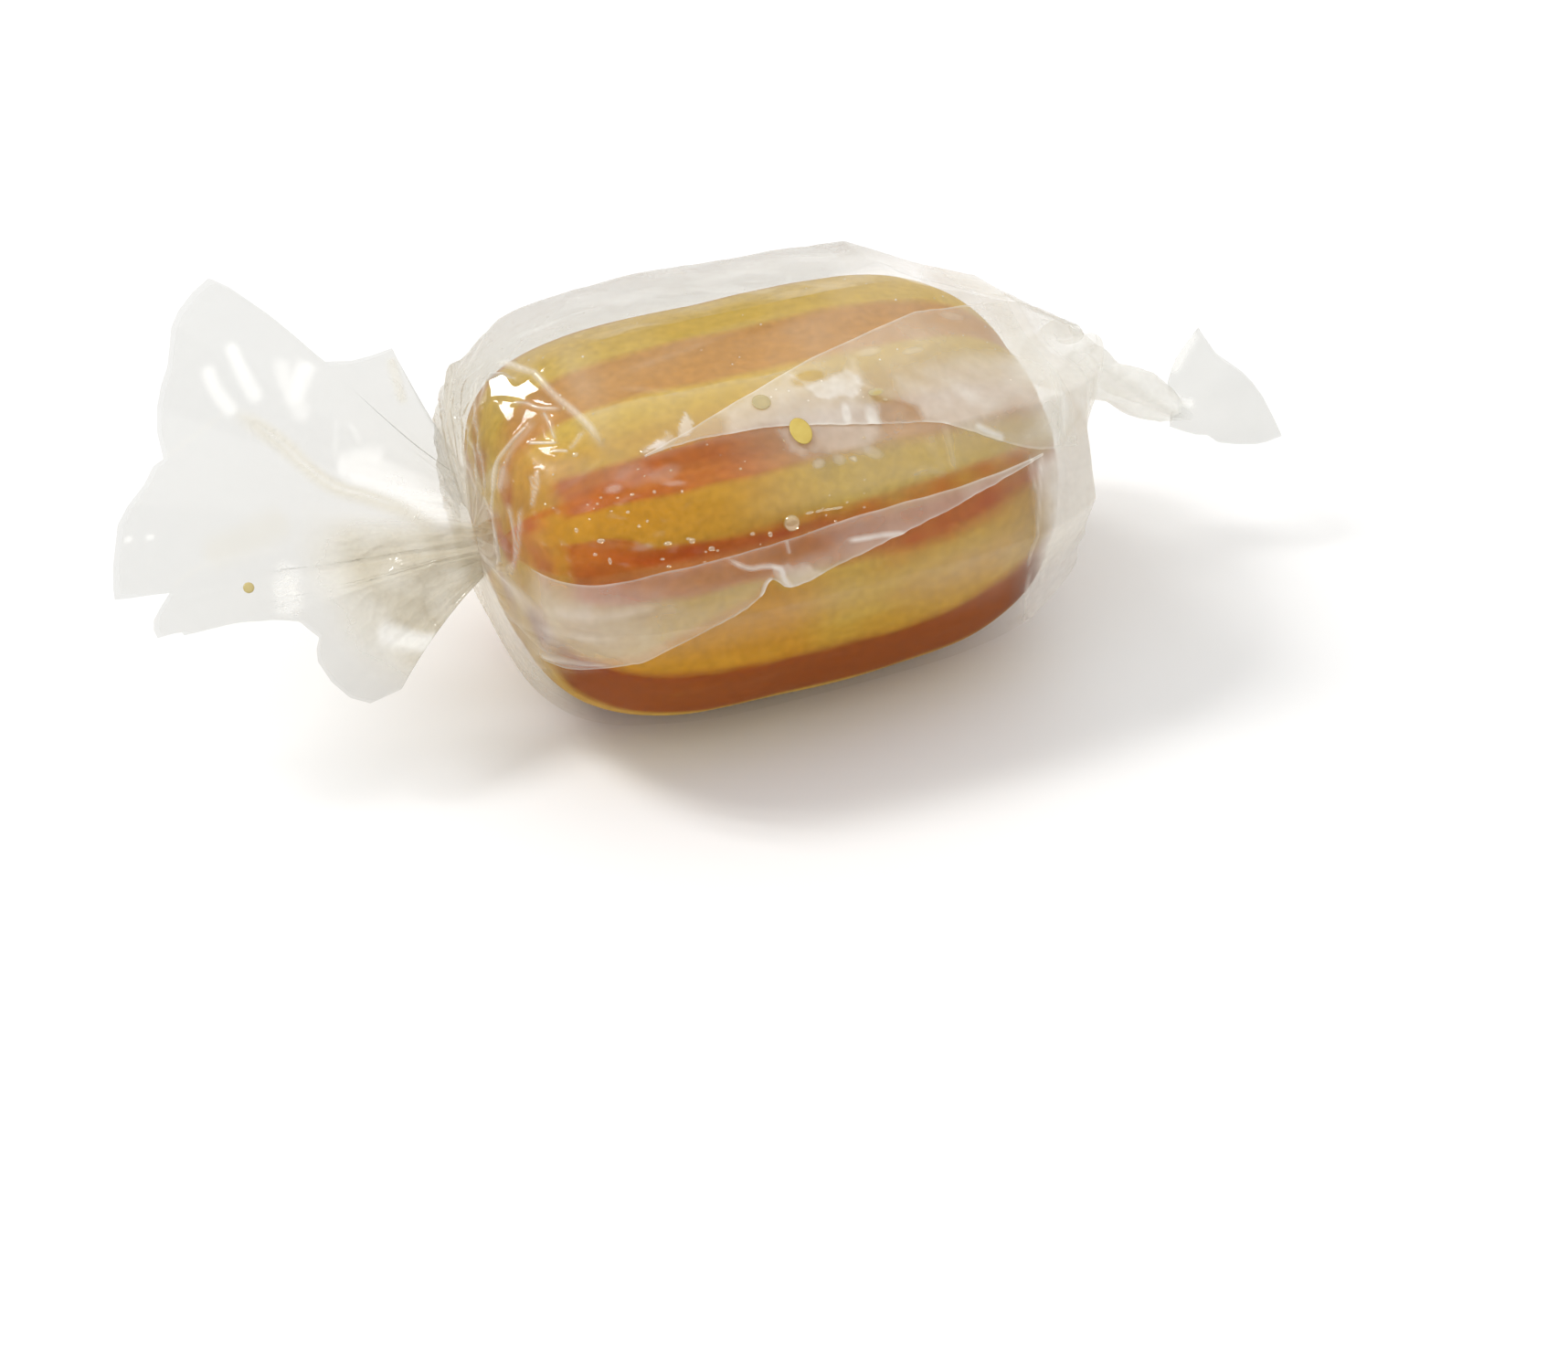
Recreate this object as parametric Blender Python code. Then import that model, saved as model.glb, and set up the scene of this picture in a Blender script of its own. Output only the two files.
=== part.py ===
"""A mint humbug: a striped boiled sweet twisted up in a square of clear film.

The model is in metres with +Z up. The long axis of the sweet lies along X, the fanned twist
is at -X and the thin, rope-like twist is at +X. The origin is the middle of the small flat
spot that the wrapped sweet rests on.

Two solids are made:
  sweet    the pillow of boiled sugar, with one low rib for each stripe
  wrapper  the film round it, as a closed wall with a lap slit, two necks and two twists
"""

import math

import bmesh
import bpy
from mathutils import Vector

MM = 0.001

# ---- the boiled sugar --------------------------------------------------------------------
SWEET_HALF_LENGTH = 13.5 * MM
SWEET_HALF_WIDTH = 10.0 * MM
SWEET_HALF_HEIGHT = 8.2 * MM
SWEET_LEFT_POWER = 4.0       # bluntness of the ends: 2 is an ellipse
SWEET_RIGHT_POWER = 3.2
SWEET_SECTION_POWER = 2.5    # squareness of the section: 2 is an ellipse
SWEET_BEND = 0.55 * MM       # how far the left end bends towards the loose side of the film
# Where one stripe meets the next, in degrees round the long axis from +Y towards +Z.
# The stripe that starts at the first edge is brown, the next one amber, and so on.
STRIPE_EDGES = (77, 103, 126, 140, 155, 171.5, 197, 220, 244, 267, 290, 313, 336, 359, 382, 410)
BROWN_DIP = 0.22 * MM        # how far the brown stripes lie below the amber ones
COLUMNS_PER_STRIPE = 4
SWEET_RINGS = 17
AMBER = (0.50, 0.24, 0.045)
BROWN = (0.21, 0.055, 0.014)
SUGAR_ROUGHNESS = 0.18

# ---- how the film lies round the sugar -----------------------------------------------------
FIT_GAP = 0.30 * MM          # clear space between the sugar and the film
HOLLOW_RINGS = 14
HOLLOW_SIDES = 40
FILM_GAP_BELOW = 0.50 * MM   # from the sugar to the flat spot that the film rests on
# Flat, taut facets of the film: direction round the axis in degrees, and how far the facet
# stands off the sugar. The film is tight at the front and loose over the back.
FACETS = (
    (270, 0.60 * MM),
    (230, 0.56 * MM),
    (190, 0.56 * MM),
    (150, 0.60 * MM),
    (110, 0.85 * MM),
    (72, 1.30 * MM),
    (36, 1.30 * MM),
    (356, 1.00 * MM),
    (312, 0.65 * MM),
)
FACET_VIEW = 0.3             # least cosine at which a facet still counts
LOOSE_SIDE = 54.0            # the direction in which the film is loosest, in degrees
LOOSE_SLOPE = 4.6            # growth of the radius towards -X on that side, per metre
# Taut lines that cut the loose side off at its ends: a place along X, the share of the
# middle section's radius there, and the slope of that share, per metre.
TAUT_LINES = (
    (-9.0 * MM, 1.045, 68.0),
    (7.0 * MM, 0.965, -50.0),
    (13.2 * MM, 0.66, -123.0),
)
TAUT_START = 0.1             # cosine off the loose side at which the taut lines begin to act
TAUT_EASE = 0.6
TAUT_LEAST = 0.4             # they never pull the film in below this share of its girth
FILM_REACH = 14.7 * MM       # how far the film's blunt ends reach along X
FILM_POWER = 3.5             # bluntness of those ends
FILM_LEFT_NECK = 14.7 * MM   # how far along X the film closes in on its necks
FILM_RIGHT_NECK = 17.3 * MM
NECK_EASE = 0.6              # loss of girth over which the film turns to its neck
LAST_RING = 0.985            # share of the way to the pole where the film's last ring lies
SKIRT_SIDE = 95.0            # the side on which the film's right end bulges out as a skirt
SKIRT_REACH = 2.3 * MM
SKIRT_START = -0.35          # cosine off that side at which the skirt begins
SKIRT_EASE = 0.9
PLEATS = 13
PLEAT_DEPTH = 0.40 * MM
PLEAT_SHARE = 0.22           # a pleat is never deeper than this share of the radius
PLEAT_SWAY = 1.3             # how unevenly the pleats are spaced
PLEAT_START = 0.95           # girth at which the pleats begin
PLEAT_EASE = 0.45
FILM_COLUMNS = 78
FILM_RINGS = 28
SPOT_HALF_LENGTH = 5.4 * MM  # the flat spot that the film rests on
SPOT_HALF_WIDTH = 4.4 * MM
SPOT_EDGE_LIFT = 0.05 * MM   # how far the film round the spot stays clear of the ground
FILM_COLOUR = (0.92, 0.92, 0.90)
FILM_ROUGHNESS = 0.10
FILM_ALPHA = 0.35
CREASE_ANGLE = 30.0

# ---- the two twists --------------------------------------------------------------------------
CENTRE_HEIGHT = SWEET_HALF_HEIGHT + FILM_GAP_BELOW
NECK_RADIUS = 1.35 * MM
LEFT_NECK = Vector((-14.6 * MM, 0.5 * MM, CENTRE_HEIGHT + 1.4 * MM))
RIGHT_NECK = Vector((17.0 * MM, 1.5 * MM, CENTRE_HEIGHT + 2.4 * MM))
# Each neck follows a Bezier curve, given by four points measured from the neck's middle.
LEFT_NECK_PATH = (
    Vector((2.6, -0.2, -0.4)) * MM,
    Vector((1.0, 0.0, 0.0)) * MM,
    Vector((-1.0, 0.1, 0.2)) * MM,
    Vector((-2.6, 0.2, 0.4)) * MM,
)
RIGHT_NECK_PATH = (
    Vector((-3.2, -0.6, -0.9)) * MM,
    Vector((1.2, 0.2, 0.9)) * MM,
    Vector((2.6, 0.1, -1.0)) * MM,
    Vector((5.0, 0.0, -4.6)) * MM,
)
# Steps along the neck, the share of NECK_RADIUS at its start and at its end, the strands that
# its section shows, and how many turns they make.
LEFT_NECK_FORM = (8, 1.25, 0.75, 5, 0.3)
RIGHT_NECK_FORM = (16, 1.15, 0.65, 2, 1.5)
NECK_SIDES = 18
STRAND_DEPTH = 0.16          # depth of the grooves between strands, as a share of the radius
LEAF_ROOT = RIGHT_NECK + Vector((2.6, 0.0, -2.3)) * MM
FAN_SPREAD = Vector((0.0, 0.8, 0.6))     # the way in which both fans open, across the X axis
LEAF_THICKNESS = 0.50 * MM
LEAF_START = 0.9 * MM        # how far from the root of its fan a leaf begins
# One leaf of folded film: first corner (angle, radius), second corner (angle, radius), how
# far the two edges and the fold between them lean out of the fan's plane, and the bow of the
# cut edge. Angles are in degrees from the twist's own direction towards FAN_SPREAD.
LEFT_LEAVES = (
    (85.0, 9.2 * MM, 60.0, 10.6 * MM, -0.10, 0.05, 0.10, 0.0),
    (61.5, 16.6 * MM, 24.0, 14.3 * MM, 0.06, -0.06, 0.16, 1.0 * MM),
    (32.0, 14.2 * MM, 3.3, 17.0 * MM, 0.02, -0.08, 0.12, 1.0 * MM),
    (6.5, 14.3 * MM, -5.0, 15.6 * MM, -0.10, 0.10, 0.05, 0.0),
    (-4.0, 14.4 * MM, -13.0, 10.0 * MM, 0.08, -0.14, 0.02, 0.0),
)
RIGHT_LEAVES = (
    (21.0, 4.6 * MM, -10.0, 6.2 * MM, 0.16, -0.05, 0.10, 0.0),
    (-8.0, 6.0 * MM, -37.0, 8.4 * MM, -0.04, 0.04, 0.10, 0.0),
    (-34.0, 8.0 * MM, -66.0, 3.7 * MM, 0.05, -0.12, 0.06, 0.0),
)
LEAF_ROWS = 7
LEAF_COLUMNS = 8

# ---- the lap of the film ---------------------------------------------------------------------
LAP_SLIT = 0.15 * MM
LAP_LENGTH = 14.0 * MM
LAP_DIRECTION = 97.0         # where the film's free edge lies, in degrees round the axis
LAP_SLANT = 2.4 * MM         # how far it shifts sideways from one end to the other
LAP_MIDDLE = 1.3 * SWEET_HALF_HEIGHT     # height of the slit's middle over the sweet's axis


def superellipse_radius(angle, half_width, half_height, power):
    """Distance from the centre to a superellipse, in a given direction."""
    across = abs(math.cos(angle) / half_width) ** power
    up = abs(math.sin(angle) / half_height) ** power
    return (across + up) ** (-1.0 / power)


def sweet_support(angle):
    """How far the sugar's middle section reaches in a given direction."""
    dual = SWEET_SECTION_POWER / (SWEET_SECTION_POWER - 1.0)
    across = abs(SWEET_HALF_WIDTH * math.cos(angle)) ** dual
    up = abs(SWEET_HALF_HEIGHT * math.sin(angle)) ** dual
    return (across + up) ** (1.0 / dual)


def end_profile(turn, power):
    """Place along the axis (-1 to 1) and girth (0 to 1) of a blunt-ended body."""
    along = math.copysign(abs(math.sin(turn)) ** (2.0 / power), turn)
    girth = abs(math.cos(turn)) ** (2.0 / power)
    return along, girth


def smoothstep(value):
    """Ease from 0 to 1 while the value goes from 0 to 1."""
    value = min(max(value, 0.0), 1.0)
    return value * value * (3.0 - 2.0 * value)


def ring_closed_mesh(name, rings, first_pole, last_pole):
    """Make a closed mesh from rings of points and one point at each end."""
    mesh = bmesh.new()
    loops = [[mesh.verts.new(point) for point in ring] for ring in rings]
    for loop, following in zip(loops, loops[1:]):
        for index, vert in enumerate(loop):
            after = (index + 1) % len(loop)
            mesh.faces.new((vert, loop[after], following[after], following[index]))
    for loop, pole in ((loops[0], first_pole), (loops[-1], last_pole)):
        tip = mesh.verts.new(pole)
        for index, vert in enumerate(loop):
            mesh.faces.new((vert, loop[(index + 1) % len(loop)], tip))
    return finish_mesh(name, mesh)


def finish_mesh(name, mesh):
    """Turn the faces outwards and put the mesh into a new object."""
    bmesh.ops.recalc_face_normals(mesh, faces=mesh.faces)
    if mesh.calc_volume(signed=True) < 0.0:
        bmesh.ops.reverse_faces(mesh, faces=mesh.faces)
    data = bpy.data.meshes.new(name)
    mesh.to_mesh(data)
    mesh.free()
    piece = bpy.data.objects.new(name, data)
    bpy.context.scene.collection.objects.link(piece)
    return piece


def make_material(name, colour, roughness, alpha):
    """A Principled BSDF material without metal."""
    material = bpy.data.materials.new(name)
    material.use_nodes = True
    shader = material.node_tree.nodes["Principled BSDF"]
    shader.inputs["Base Color"].default_value = (*colour, 1.0)
    shader.inputs["Roughness"].default_value = roughness
    shader.inputs["Metallic"].default_value = 0.0
    shader.inputs["Alpha"].default_value = alpha
    return material


# ---- the sweet -----------------------------------------------------------------------------

def stripe_columns():
    """Angles round the sweet with the stripe number and the place across the stripe."""
    columns = []
    edges = STRIPE_EDGES + (STRIPE_EDGES[0] + 360.0,)
    for stripe, (start, end) in enumerate(zip(edges, edges[1:])):
        for step in range(COLUMNS_PER_STRIPE):
            across = step / COLUMNS_PER_STRIPE
            columns.append((math.radians(start + (end - start) * across), stripe, across))
    return columns


def sweet_point(turn, angle, dip=0.0, growth=0.0):
    """A point on the sugar, sunk by the dip, or on the same form grown all round."""
    along, girth = end_profile(turn, SWEET_LEFT_POWER if turn < 0.0 else SWEET_RIGHT_POWER)
    radius = superellipse_radius(angle, SWEET_HALF_WIDTH, SWEET_HALF_HEIGHT, SWEET_SECTION_POWER)
    radius = girth * (radius + growth - dip)
    bend = SWEET_BEND * min(along, 0.0) ** 2
    side = math.radians(LOOSE_SIDE)
    return Vector((
        along * (SWEET_HALF_LENGTH + growth),
        radius * math.cos(angle) + bend * math.cos(side),
        radius * math.sin(angle) + bend * math.sin(side) + CENTRE_HEIGHT))


def make_sweet():
    """The pillow of sugar: amber stripes stand up as low ribs, brown ones lie between."""
    columns = stripe_columns()
    rings = []
    for ring in range(1, SWEET_RINGS + 1):
        turn = math.pi * (ring / (SWEET_RINGS + 1) - 0.5)
        points = []
        for angle, stripe, across in columns:
            dip = BROWN_DIP * math.sin(math.pi * across) if stripe % 2 == 0 else 0.0
            points.append(sweet_point(turn, angle, dip=dip))
        rings.append(points)
    ends = [sweet_point(turn, 0.0) for turn in (-0.5 * math.pi, 0.5 * math.pi)]
    sweet = ring_closed_mesh("sweet", rings, *ends)
    sweet.data.materials.append(make_material("amber_sugar", AMBER, SUGAR_ROUGHNESS, 1.0))
    sweet.data.materials.append(make_material("brown_sugar", BROWN, SUGAR_ROUGHNESS, 1.0))
    centre = Vector((0.0, 0.0, CENTRE_HEIGHT))
    for face in sweet.data.polygons:
        offset = face.center - centre
        angle = math.degrees(math.atan2(offset.z, offset.y))
        turned = (angle - STRIPE_EDGES[0]) % 360.0 + STRIPE_EDGES[0]
        stripe = sum(1 for edge in STRIPE_EDGES if edge <= turned) - 1
        face.material_index = 1 if stripe % 2 == 0 else 0
    sweet.data.shade_smooth()
    return sweet


# ---- the film round the sweet ------------------------------------------------------------------

def film_section_radius(angle):
    """Outside of the film's middle section: flat facets between shallow corners."""
    reach = []
    for direction, stand_off in FACETS:
        facing = math.cos(angle - math.radians(direction))
        if facing > FACET_VIEW:
            support = sweet_support(math.radians(direction)) + stand_off
            reach.append(support / facing)
    return min(reach)


def film_point(turn, angle):
    """A point on the outside of the film that covers the sweet, from neck to neck."""
    along, girth = end_profile(turn, FILM_POWER)
    if turn < 0.0:
        reach = FILM_REACH
        closing = FILM_LEFT_NECK
        neck = LEFT_NECK
    else:
        skirt = math.cos(angle - math.radians(SKIRT_SIDE)) - SKIRT_START
        reach = FILM_REACH + SKIRT_REACH * smoothstep(skirt / SKIRT_EASE)
        closing = FILM_RIGHT_NECK
        neck = RIGHT_NECK
    shift = smoothstep((1.0 - girth) / NECK_EASE)
    place = along * (reach + (closing - reach) * shift)
    facing = math.cos(angle - math.radians(LOOSE_SIDE))
    share = girth * (1.0 - LOOSE_SLOPE * place * max(0.0, facing))
    cut = min([share] + [height + slope * (place - start) for start, height, slope in TAUT_LINES])
    cut = max(cut, TAUT_LEAST * girth)
    share += (cut - share) * smoothstep((facing - TAUT_START) / TAUT_EASE)
    radius = share * film_section_radius(angle)
    gathered = smoothstep((PLEAT_START - girth) / PLEAT_EASE)
    depth = min(PLEAT_DEPTH, PLEAT_SHARE * radius)
    pleat = depth * gathered * math.cos(PLEATS * angle + PLEAT_SWAY * math.sin(2.0 * angle))
    return Vector((
        place + math.copysign(pleat, turn),
        neck.y * shift + (radius + pleat) * math.cos(angle),
        CENTRE_HEIGHT + (neck.z - CENTRE_HEIGHT) * shift + (radius + pleat) * math.sin(angle)))


def make_film_cover():
    """The part of the film that covers the sweet, as a solid with pleated ends.

    Underneath it is pressed to a small oblong flat spot, and lies just clear of the ground
    round that spot.
    """
    angles = [2.0 * math.pi * column / FILM_COLUMNS for column in range(FILM_COLUMNS)]
    middle = [film_point(0.0, angle) for angle in angles]
    rings = []
    for ring in range(1, FILM_RINGS + 1):
        turn = math.pi * (ring / (FILM_RINGS + 1) - 0.5) * LAST_RING
        points = []
        for angle, centre in zip(angles, middle):
            point = film_point(turn, angle)
            on_spot = abs(point.x) < SPOT_HALF_LENGTH and abs(centre.y) < SPOT_HALF_WIDTH
            if point.z < SPOT_EDGE_LIFT and on_spot:
                point.y = centre.y
                point.z = 0.0
            point.z = max(point.z, 0.0 if on_spot else SPOT_EDGE_LIFT)
            points.append(point)
        rings.append(points)
    left_end = sum(rings[0], Vector()) / FILM_COLUMNS
    right_end = sum(rings[-1], Vector()) / FILM_COLUMNS
    return ring_closed_mesh("film_cover", rings, left_end, right_end)


def bezier(points, steps):
    """Points along one cubic Bezier curve."""
    first, second, third, fourth = points
    row = []
    for step in range(steps + 1):
        t = step / steps
        s = 1.0 - t
        row.append(first * s ** 3 + second * 3 * s * s * t + third * 3 * s * t * t + fourth * t ** 3)
    return row


def make_neck(name, middle, path, form):
    """A twisted bundle of film along a curve: a lobed section that turns as it goes."""
    steps, first_share, last_share, strands, turns = form
    centres = bezier([middle + point for point in path], steps)
    rings = []
    for index, centre in enumerate(centres):
        before = centres[max(index - 1, 0)]
        after = centres[min(index + 1, steps)]
        heading = (after - before).normalized()
        side = heading.cross(Vector((0.0, 0.0, 1.0))).normalized()
        over = side.cross(heading)
        radius = NECK_RADIUS * (first_share + (last_share - first_share) * index / steps)
        spin = 2.0 * math.pi * turns * index / steps
        points = []
        for step in range(NECK_SIDES):
            angle = 2.0 * math.pi * step / NECK_SIDES
            lobed = radius * (1.0 + STRAND_DEPTH * math.cos(strands * (angle - spin)))
            points.append(centre + lobed * (math.cos(angle) * side + math.sin(angle) * over))
        rings.append(points)
    return ring_closed_mesh(name, rings, centres[0], centres[-1])


def leaf_point(root, heading, leaf, out, across):
    """A point on the middle surface of one leaf: out goes from 0 to 1, across from 0 to 1."""
    first_angle, first_radius, last_angle, last_radius, lean_first, lean_last, fold, bow = leaf
    start = math.radians(first_angle)
    end = math.radians(last_angle)
    angle = start + (end - start) * across
    first = Vector((math.cos(start), math.sin(start))) * first_radius
    last = Vector((math.cos(end), math.sin(end))) * last_radius
    edge = last - first
    direction = Vector((math.cos(angle), math.sin(angle)))
    chord = (first.x * edge.y - first.y * edge.x) / (direction.x * edge.y - direction.y * edge.x)
    radius = out * (chord + bow * math.sin(math.pi * across))
    lean = lean_first + (lean_last - lean_first) * across
    lean += fold * (1.0 - abs(2.0 * across - 1.0))
    facing = heading.cross(FAN_SPREAD)
    return root + radius * (direction.x * heading + direction.y * FAN_SPREAD + lean * facing)


def make_leaf(name, root, heading, leaf):
    """One leaf of the fanned film as a thin, folded plate."""
    facing = heading.cross(FAN_SPREAD).normalized()
    inner = LEAF_START / min(leaf[1], leaf[3])
    mesh = bmesh.new()
    sheets = []
    for side in (0.5, -0.5):
        grid = []
        for row in range(LEAF_ROWS + 1):
            out = inner + (1.0 - inner) * row / LEAF_ROWS
            line = []
            for column in range(LEAF_COLUMNS + 1):
                point = leaf_point(root, heading, leaf, out, column / LEAF_COLUMNS)
                line.append(mesh.verts.new(point + side * LEAF_THICKNESS * facing))
            grid.append(line)
        sheets.append(grid)
    front, back = sheets
    for row in range(LEAF_ROWS):
        for column in range(LEAF_COLUMNS):
            for grid in (front, back):
                mesh.faces.new((grid[row][column], grid[row][column + 1],
                                grid[row + 1][column + 1], grid[row + 1][column]))
        for column in (0, LEAF_COLUMNS):
            mesh.faces.new((front[row][column], front[row + 1][column],
                            back[row + 1][column], back[row][column]))
    for column in range(LEAF_COLUMNS):
        for row in (0, LEAF_ROWS):
            mesh.faces.new((front[row][column], front[row][column + 1],
                            back[row][column + 1], back[row][column]))
    return finish_mesh(name, mesh)


def make_hollow():
    """The space inside the film: the sugar's own form, grown by the gap round it."""
    rings = []
    for ring in range(1, HOLLOW_RINGS + 1):
        turn = math.pi * (ring / (HOLLOW_RINGS + 1) - 0.5)
        points = []
        for step in range(HOLLOW_SIDES):
            angle = 2.0 * math.pi * (step + 0.5) / HOLLOW_SIDES
            points.append(sweet_point(turn, angle, growth=FIT_GAP))
        rings.append(points)
    ends = [sweet_point(turn, 0.0, growth=FIT_GAP) for turn in (-0.5 * math.pi, 0.5 * math.pi)]
    return ring_closed_mesh("hollow", rings, *ends)


def make_lap_slit():
    """The narrow slit under the film's free edge, slanting along the top of the sweet."""
    direction = math.radians(LAP_DIRECTION)
    outwards = Vector((0.0, math.cos(direction), math.sin(direction)))
    sideways = Vector((0.0, -math.sin(direction), math.cos(direction)))
    mesh = bmesh.new()
    bmesh.ops.create_cube(mesh, size=1.0)
    for vert in mesh.verts:
        reach = LAP_MIDDLE + SWEET_HALF_HEIGHT * vert.co.z
        shift = LAP_SLIT * vert.co.y + LAP_SLANT * vert.co.x
        place = outwards * reach + sideways * shift
        vert.co = Vector((LAP_LENGTH * vert.co.x, place.y, CENTRE_HEIGHT + place.z))
    return finish_mesh("lap_slit", mesh)


def apply_boolean(target, operation, cutter=None, group=None):
    """Join or cut with the exact solver, and keep the result as the object's own mesh."""
    modifier = target.modifiers.new(operation.lower(), "BOOLEAN")
    modifier.operation = operation
    modifier.solver = "EXACT"
    if group is not None:
        modifier.operand_type = "COLLECTION"
        modifier.collection = group
    else:
        modifier.object = cutter
    graph = bpy.context.evaluated_depsgraph_get()
    joined = bpy.data.meshes.new_from_object(target.evaluated_get(graph))
    target.modifiers.clear()
    target.data = joined


def keep_largest_shell(target):
    """Drop every loose scrap and fill every sealed hollow of a joined mesh."""
    mesh = bmesh.new()
    mesh.from_mesh(target.data)
    unseen = set(mesh.faces)
    shells = []
    while unseen:
        front = [unseen.pop()]
        shell = list(front)
        while front:
            face = front.pop()
            for edge in face.edges:
                for neighbour in edge.link_faces:
                    if neighbour in unseen:
                        unseen.remove(neighbour)
                        front.append(neighbour)
                        shell.append(neighbour)
        shells.append(shell)
    largest = max(shells, key=len)
    spare = [face for shell in shells if shell is not largest for face in shell]
    bmesh.ops.delete(mesh, geom=spare, context="FACES")
    loose = [vert for vert in mesh.verts if not vert.link_faces]
    bmesh.ops.delete(mesh, geom=loose, context="VERTS")
    mesh.to_mesh(target.data)
    mesh.free()


def make_wrapper():
    """The film: the cover, the two necks and the leaves joined, then hollowed and slit."""
    wrapper = make_film_cover()
    wrapper.name = "wrapper"

    pieces = [
        make_neck("left_neck", LEFT_NECK, LEFT_NECK_PATH, LEFT_NECK_FORM),
        make_neck("right_neck", RIGHT_NECK, RIGHT_NECK_PATH, RIGHT_NECK_FORM),
    ]
    fans = (
        ("left_leaf", LEFT_NECK, Vector((-1.0, 0.0, 0.0)), LEFT_LEAVES),
        ("right_leaf", LEAF_ROOT, Vector((1.0, 0.0, 0.0)), RIGHT_LEAVES),
    )
    for name, root, heading, leaves in fans:
        for number, leaf in enumerate(leaves):
            pieces.append(make_leaf(f"{name}_{number}", root, heading, leaf))

    group = bpy.data.collections.new("film_pieces")
    bpy.context.scene.collection.children.link(group)
    for piece in pieces:
        group.objects.link(piece)
    apply_boolean(wrapper, "UNION", group=group)
    for piece in pieces:
        bpy.data.objects.remove(piece)
    bpy.data.collections.remove(group)
    keep_largest_shell(wrapper)

    for cutter in (make_hollow(), make_lap_slit()):
        apply_boolean(wrapper, "DIFFERENCE", cutter=cutter)
        bpy.data.objects.remove(cutter)

    wrapper.data.materials.clear()
    film = make_material("clear_film", FILM_COLOUR, FILM_ROUGHNESS, FILM_ALPHA)
    wrapper.data.materials.append(film)
    wrapper.data.shade_smooth()
    wrapper.data.set_sharp_from_angle(angle=math.radians(CREASE_ANGLE))
    return wrapper


def main():
    """Build both solids in an empty scene."""
    for item in list(bpy.data.objects):
        bpy.data.objects.remove(item)
    make_sweet()
    make_wrapper()


main()
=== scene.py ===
"""The wrapped mint humbug, dressed: striped boiled sugar in crumpled clear film."""

import math

import bpy
import numpy as np
from mathutils import Matrix, Vector


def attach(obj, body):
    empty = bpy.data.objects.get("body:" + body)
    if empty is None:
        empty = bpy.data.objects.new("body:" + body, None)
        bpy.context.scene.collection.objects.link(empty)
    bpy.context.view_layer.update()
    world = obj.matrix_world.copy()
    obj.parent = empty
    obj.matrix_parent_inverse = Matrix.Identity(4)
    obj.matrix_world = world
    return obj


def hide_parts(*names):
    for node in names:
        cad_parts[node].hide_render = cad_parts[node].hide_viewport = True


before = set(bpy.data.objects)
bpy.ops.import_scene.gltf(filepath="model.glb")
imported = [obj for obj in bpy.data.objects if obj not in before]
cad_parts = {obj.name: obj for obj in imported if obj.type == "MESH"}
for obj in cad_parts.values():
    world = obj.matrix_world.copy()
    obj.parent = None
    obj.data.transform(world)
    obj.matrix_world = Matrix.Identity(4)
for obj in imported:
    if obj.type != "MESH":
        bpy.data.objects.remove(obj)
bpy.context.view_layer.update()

MM = 0.001
TURN = 2 * math.pi
QUARTER = 0.5 * math.pi

# ---- the forms, as the solids have them ----
SWEET_HALF_LENGTH = 13.5 * MM
SWEET_HALF_WIDTH = 10 * MM
SWEET_HALF_HEIGHT = 8.2 * MM
SWEET_LEFT_POWER = 4
SWEET_RIGHT_POWER = 3.2
SWEET_SECTION_POWER = 2.5
SWEET_BEND = 0.55 * MM
STRIPE_EDGES = (75.5, 99, 122, 136, 151, 164, 190, 214, 239, 263, 287, 311, 336, 359, 382, 408)
BROWN_DIP = 0.2 * MM
AMBER_DIP = -0.04 * MM
CENTRE_HEIGHT = 8.7 * MM
# Facets of the film: direction in degrees and how far the facet stands off the sugar in mm.
FACETS = (
    (270, 0.45), (230, 0.3), (190, 0.2), (150, 0.22), (110, 0.75), (72, 1.3), (36, 1.3), (356, 1),
    (312, 0.6))
FACET_VIEW = 0.3
LOOSE_SIDE = math.radians(54)
LOOSE_SLOPE = 4.6
# Lines that the taut film doesn't cross: start in mm, girth there, and change of girth per metre.
TAUT_LINES = ((-9, 1.045, 68), (7, 0.965, -50), (13.2, 0.66, -123))
TAUT_START = 0.1
TAUT_EASE = 0.6
TAUT_LEAST = 0.4
FILM_REACH = 14.7 * MM
FILM_POWER = 3.5
FILM_LEFT_NECK = 14.7 * MM
FILM_RIGHT_NECK = 17.3 * MM
NECK_EASE = 0.6
LAST_RING = 0.985
SKIRT_SIDE = math.radians(95)
SKIRT_REACH = 2.3 * MM
SKIRT_START = -0.35
SKIRT_EASE = 0.9
LEFT_NECK = np.array((-14.6, 0.5, 10.1)) * MM
LEAF_ROOT = np.array((21.74, 0.16, 7.8)) * MM
RIGHT_NECK = np.array((17, 1.5, 11.1)) * MM
FAN_SPREAD = np.array((0, 0.8, 0.6))
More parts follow.
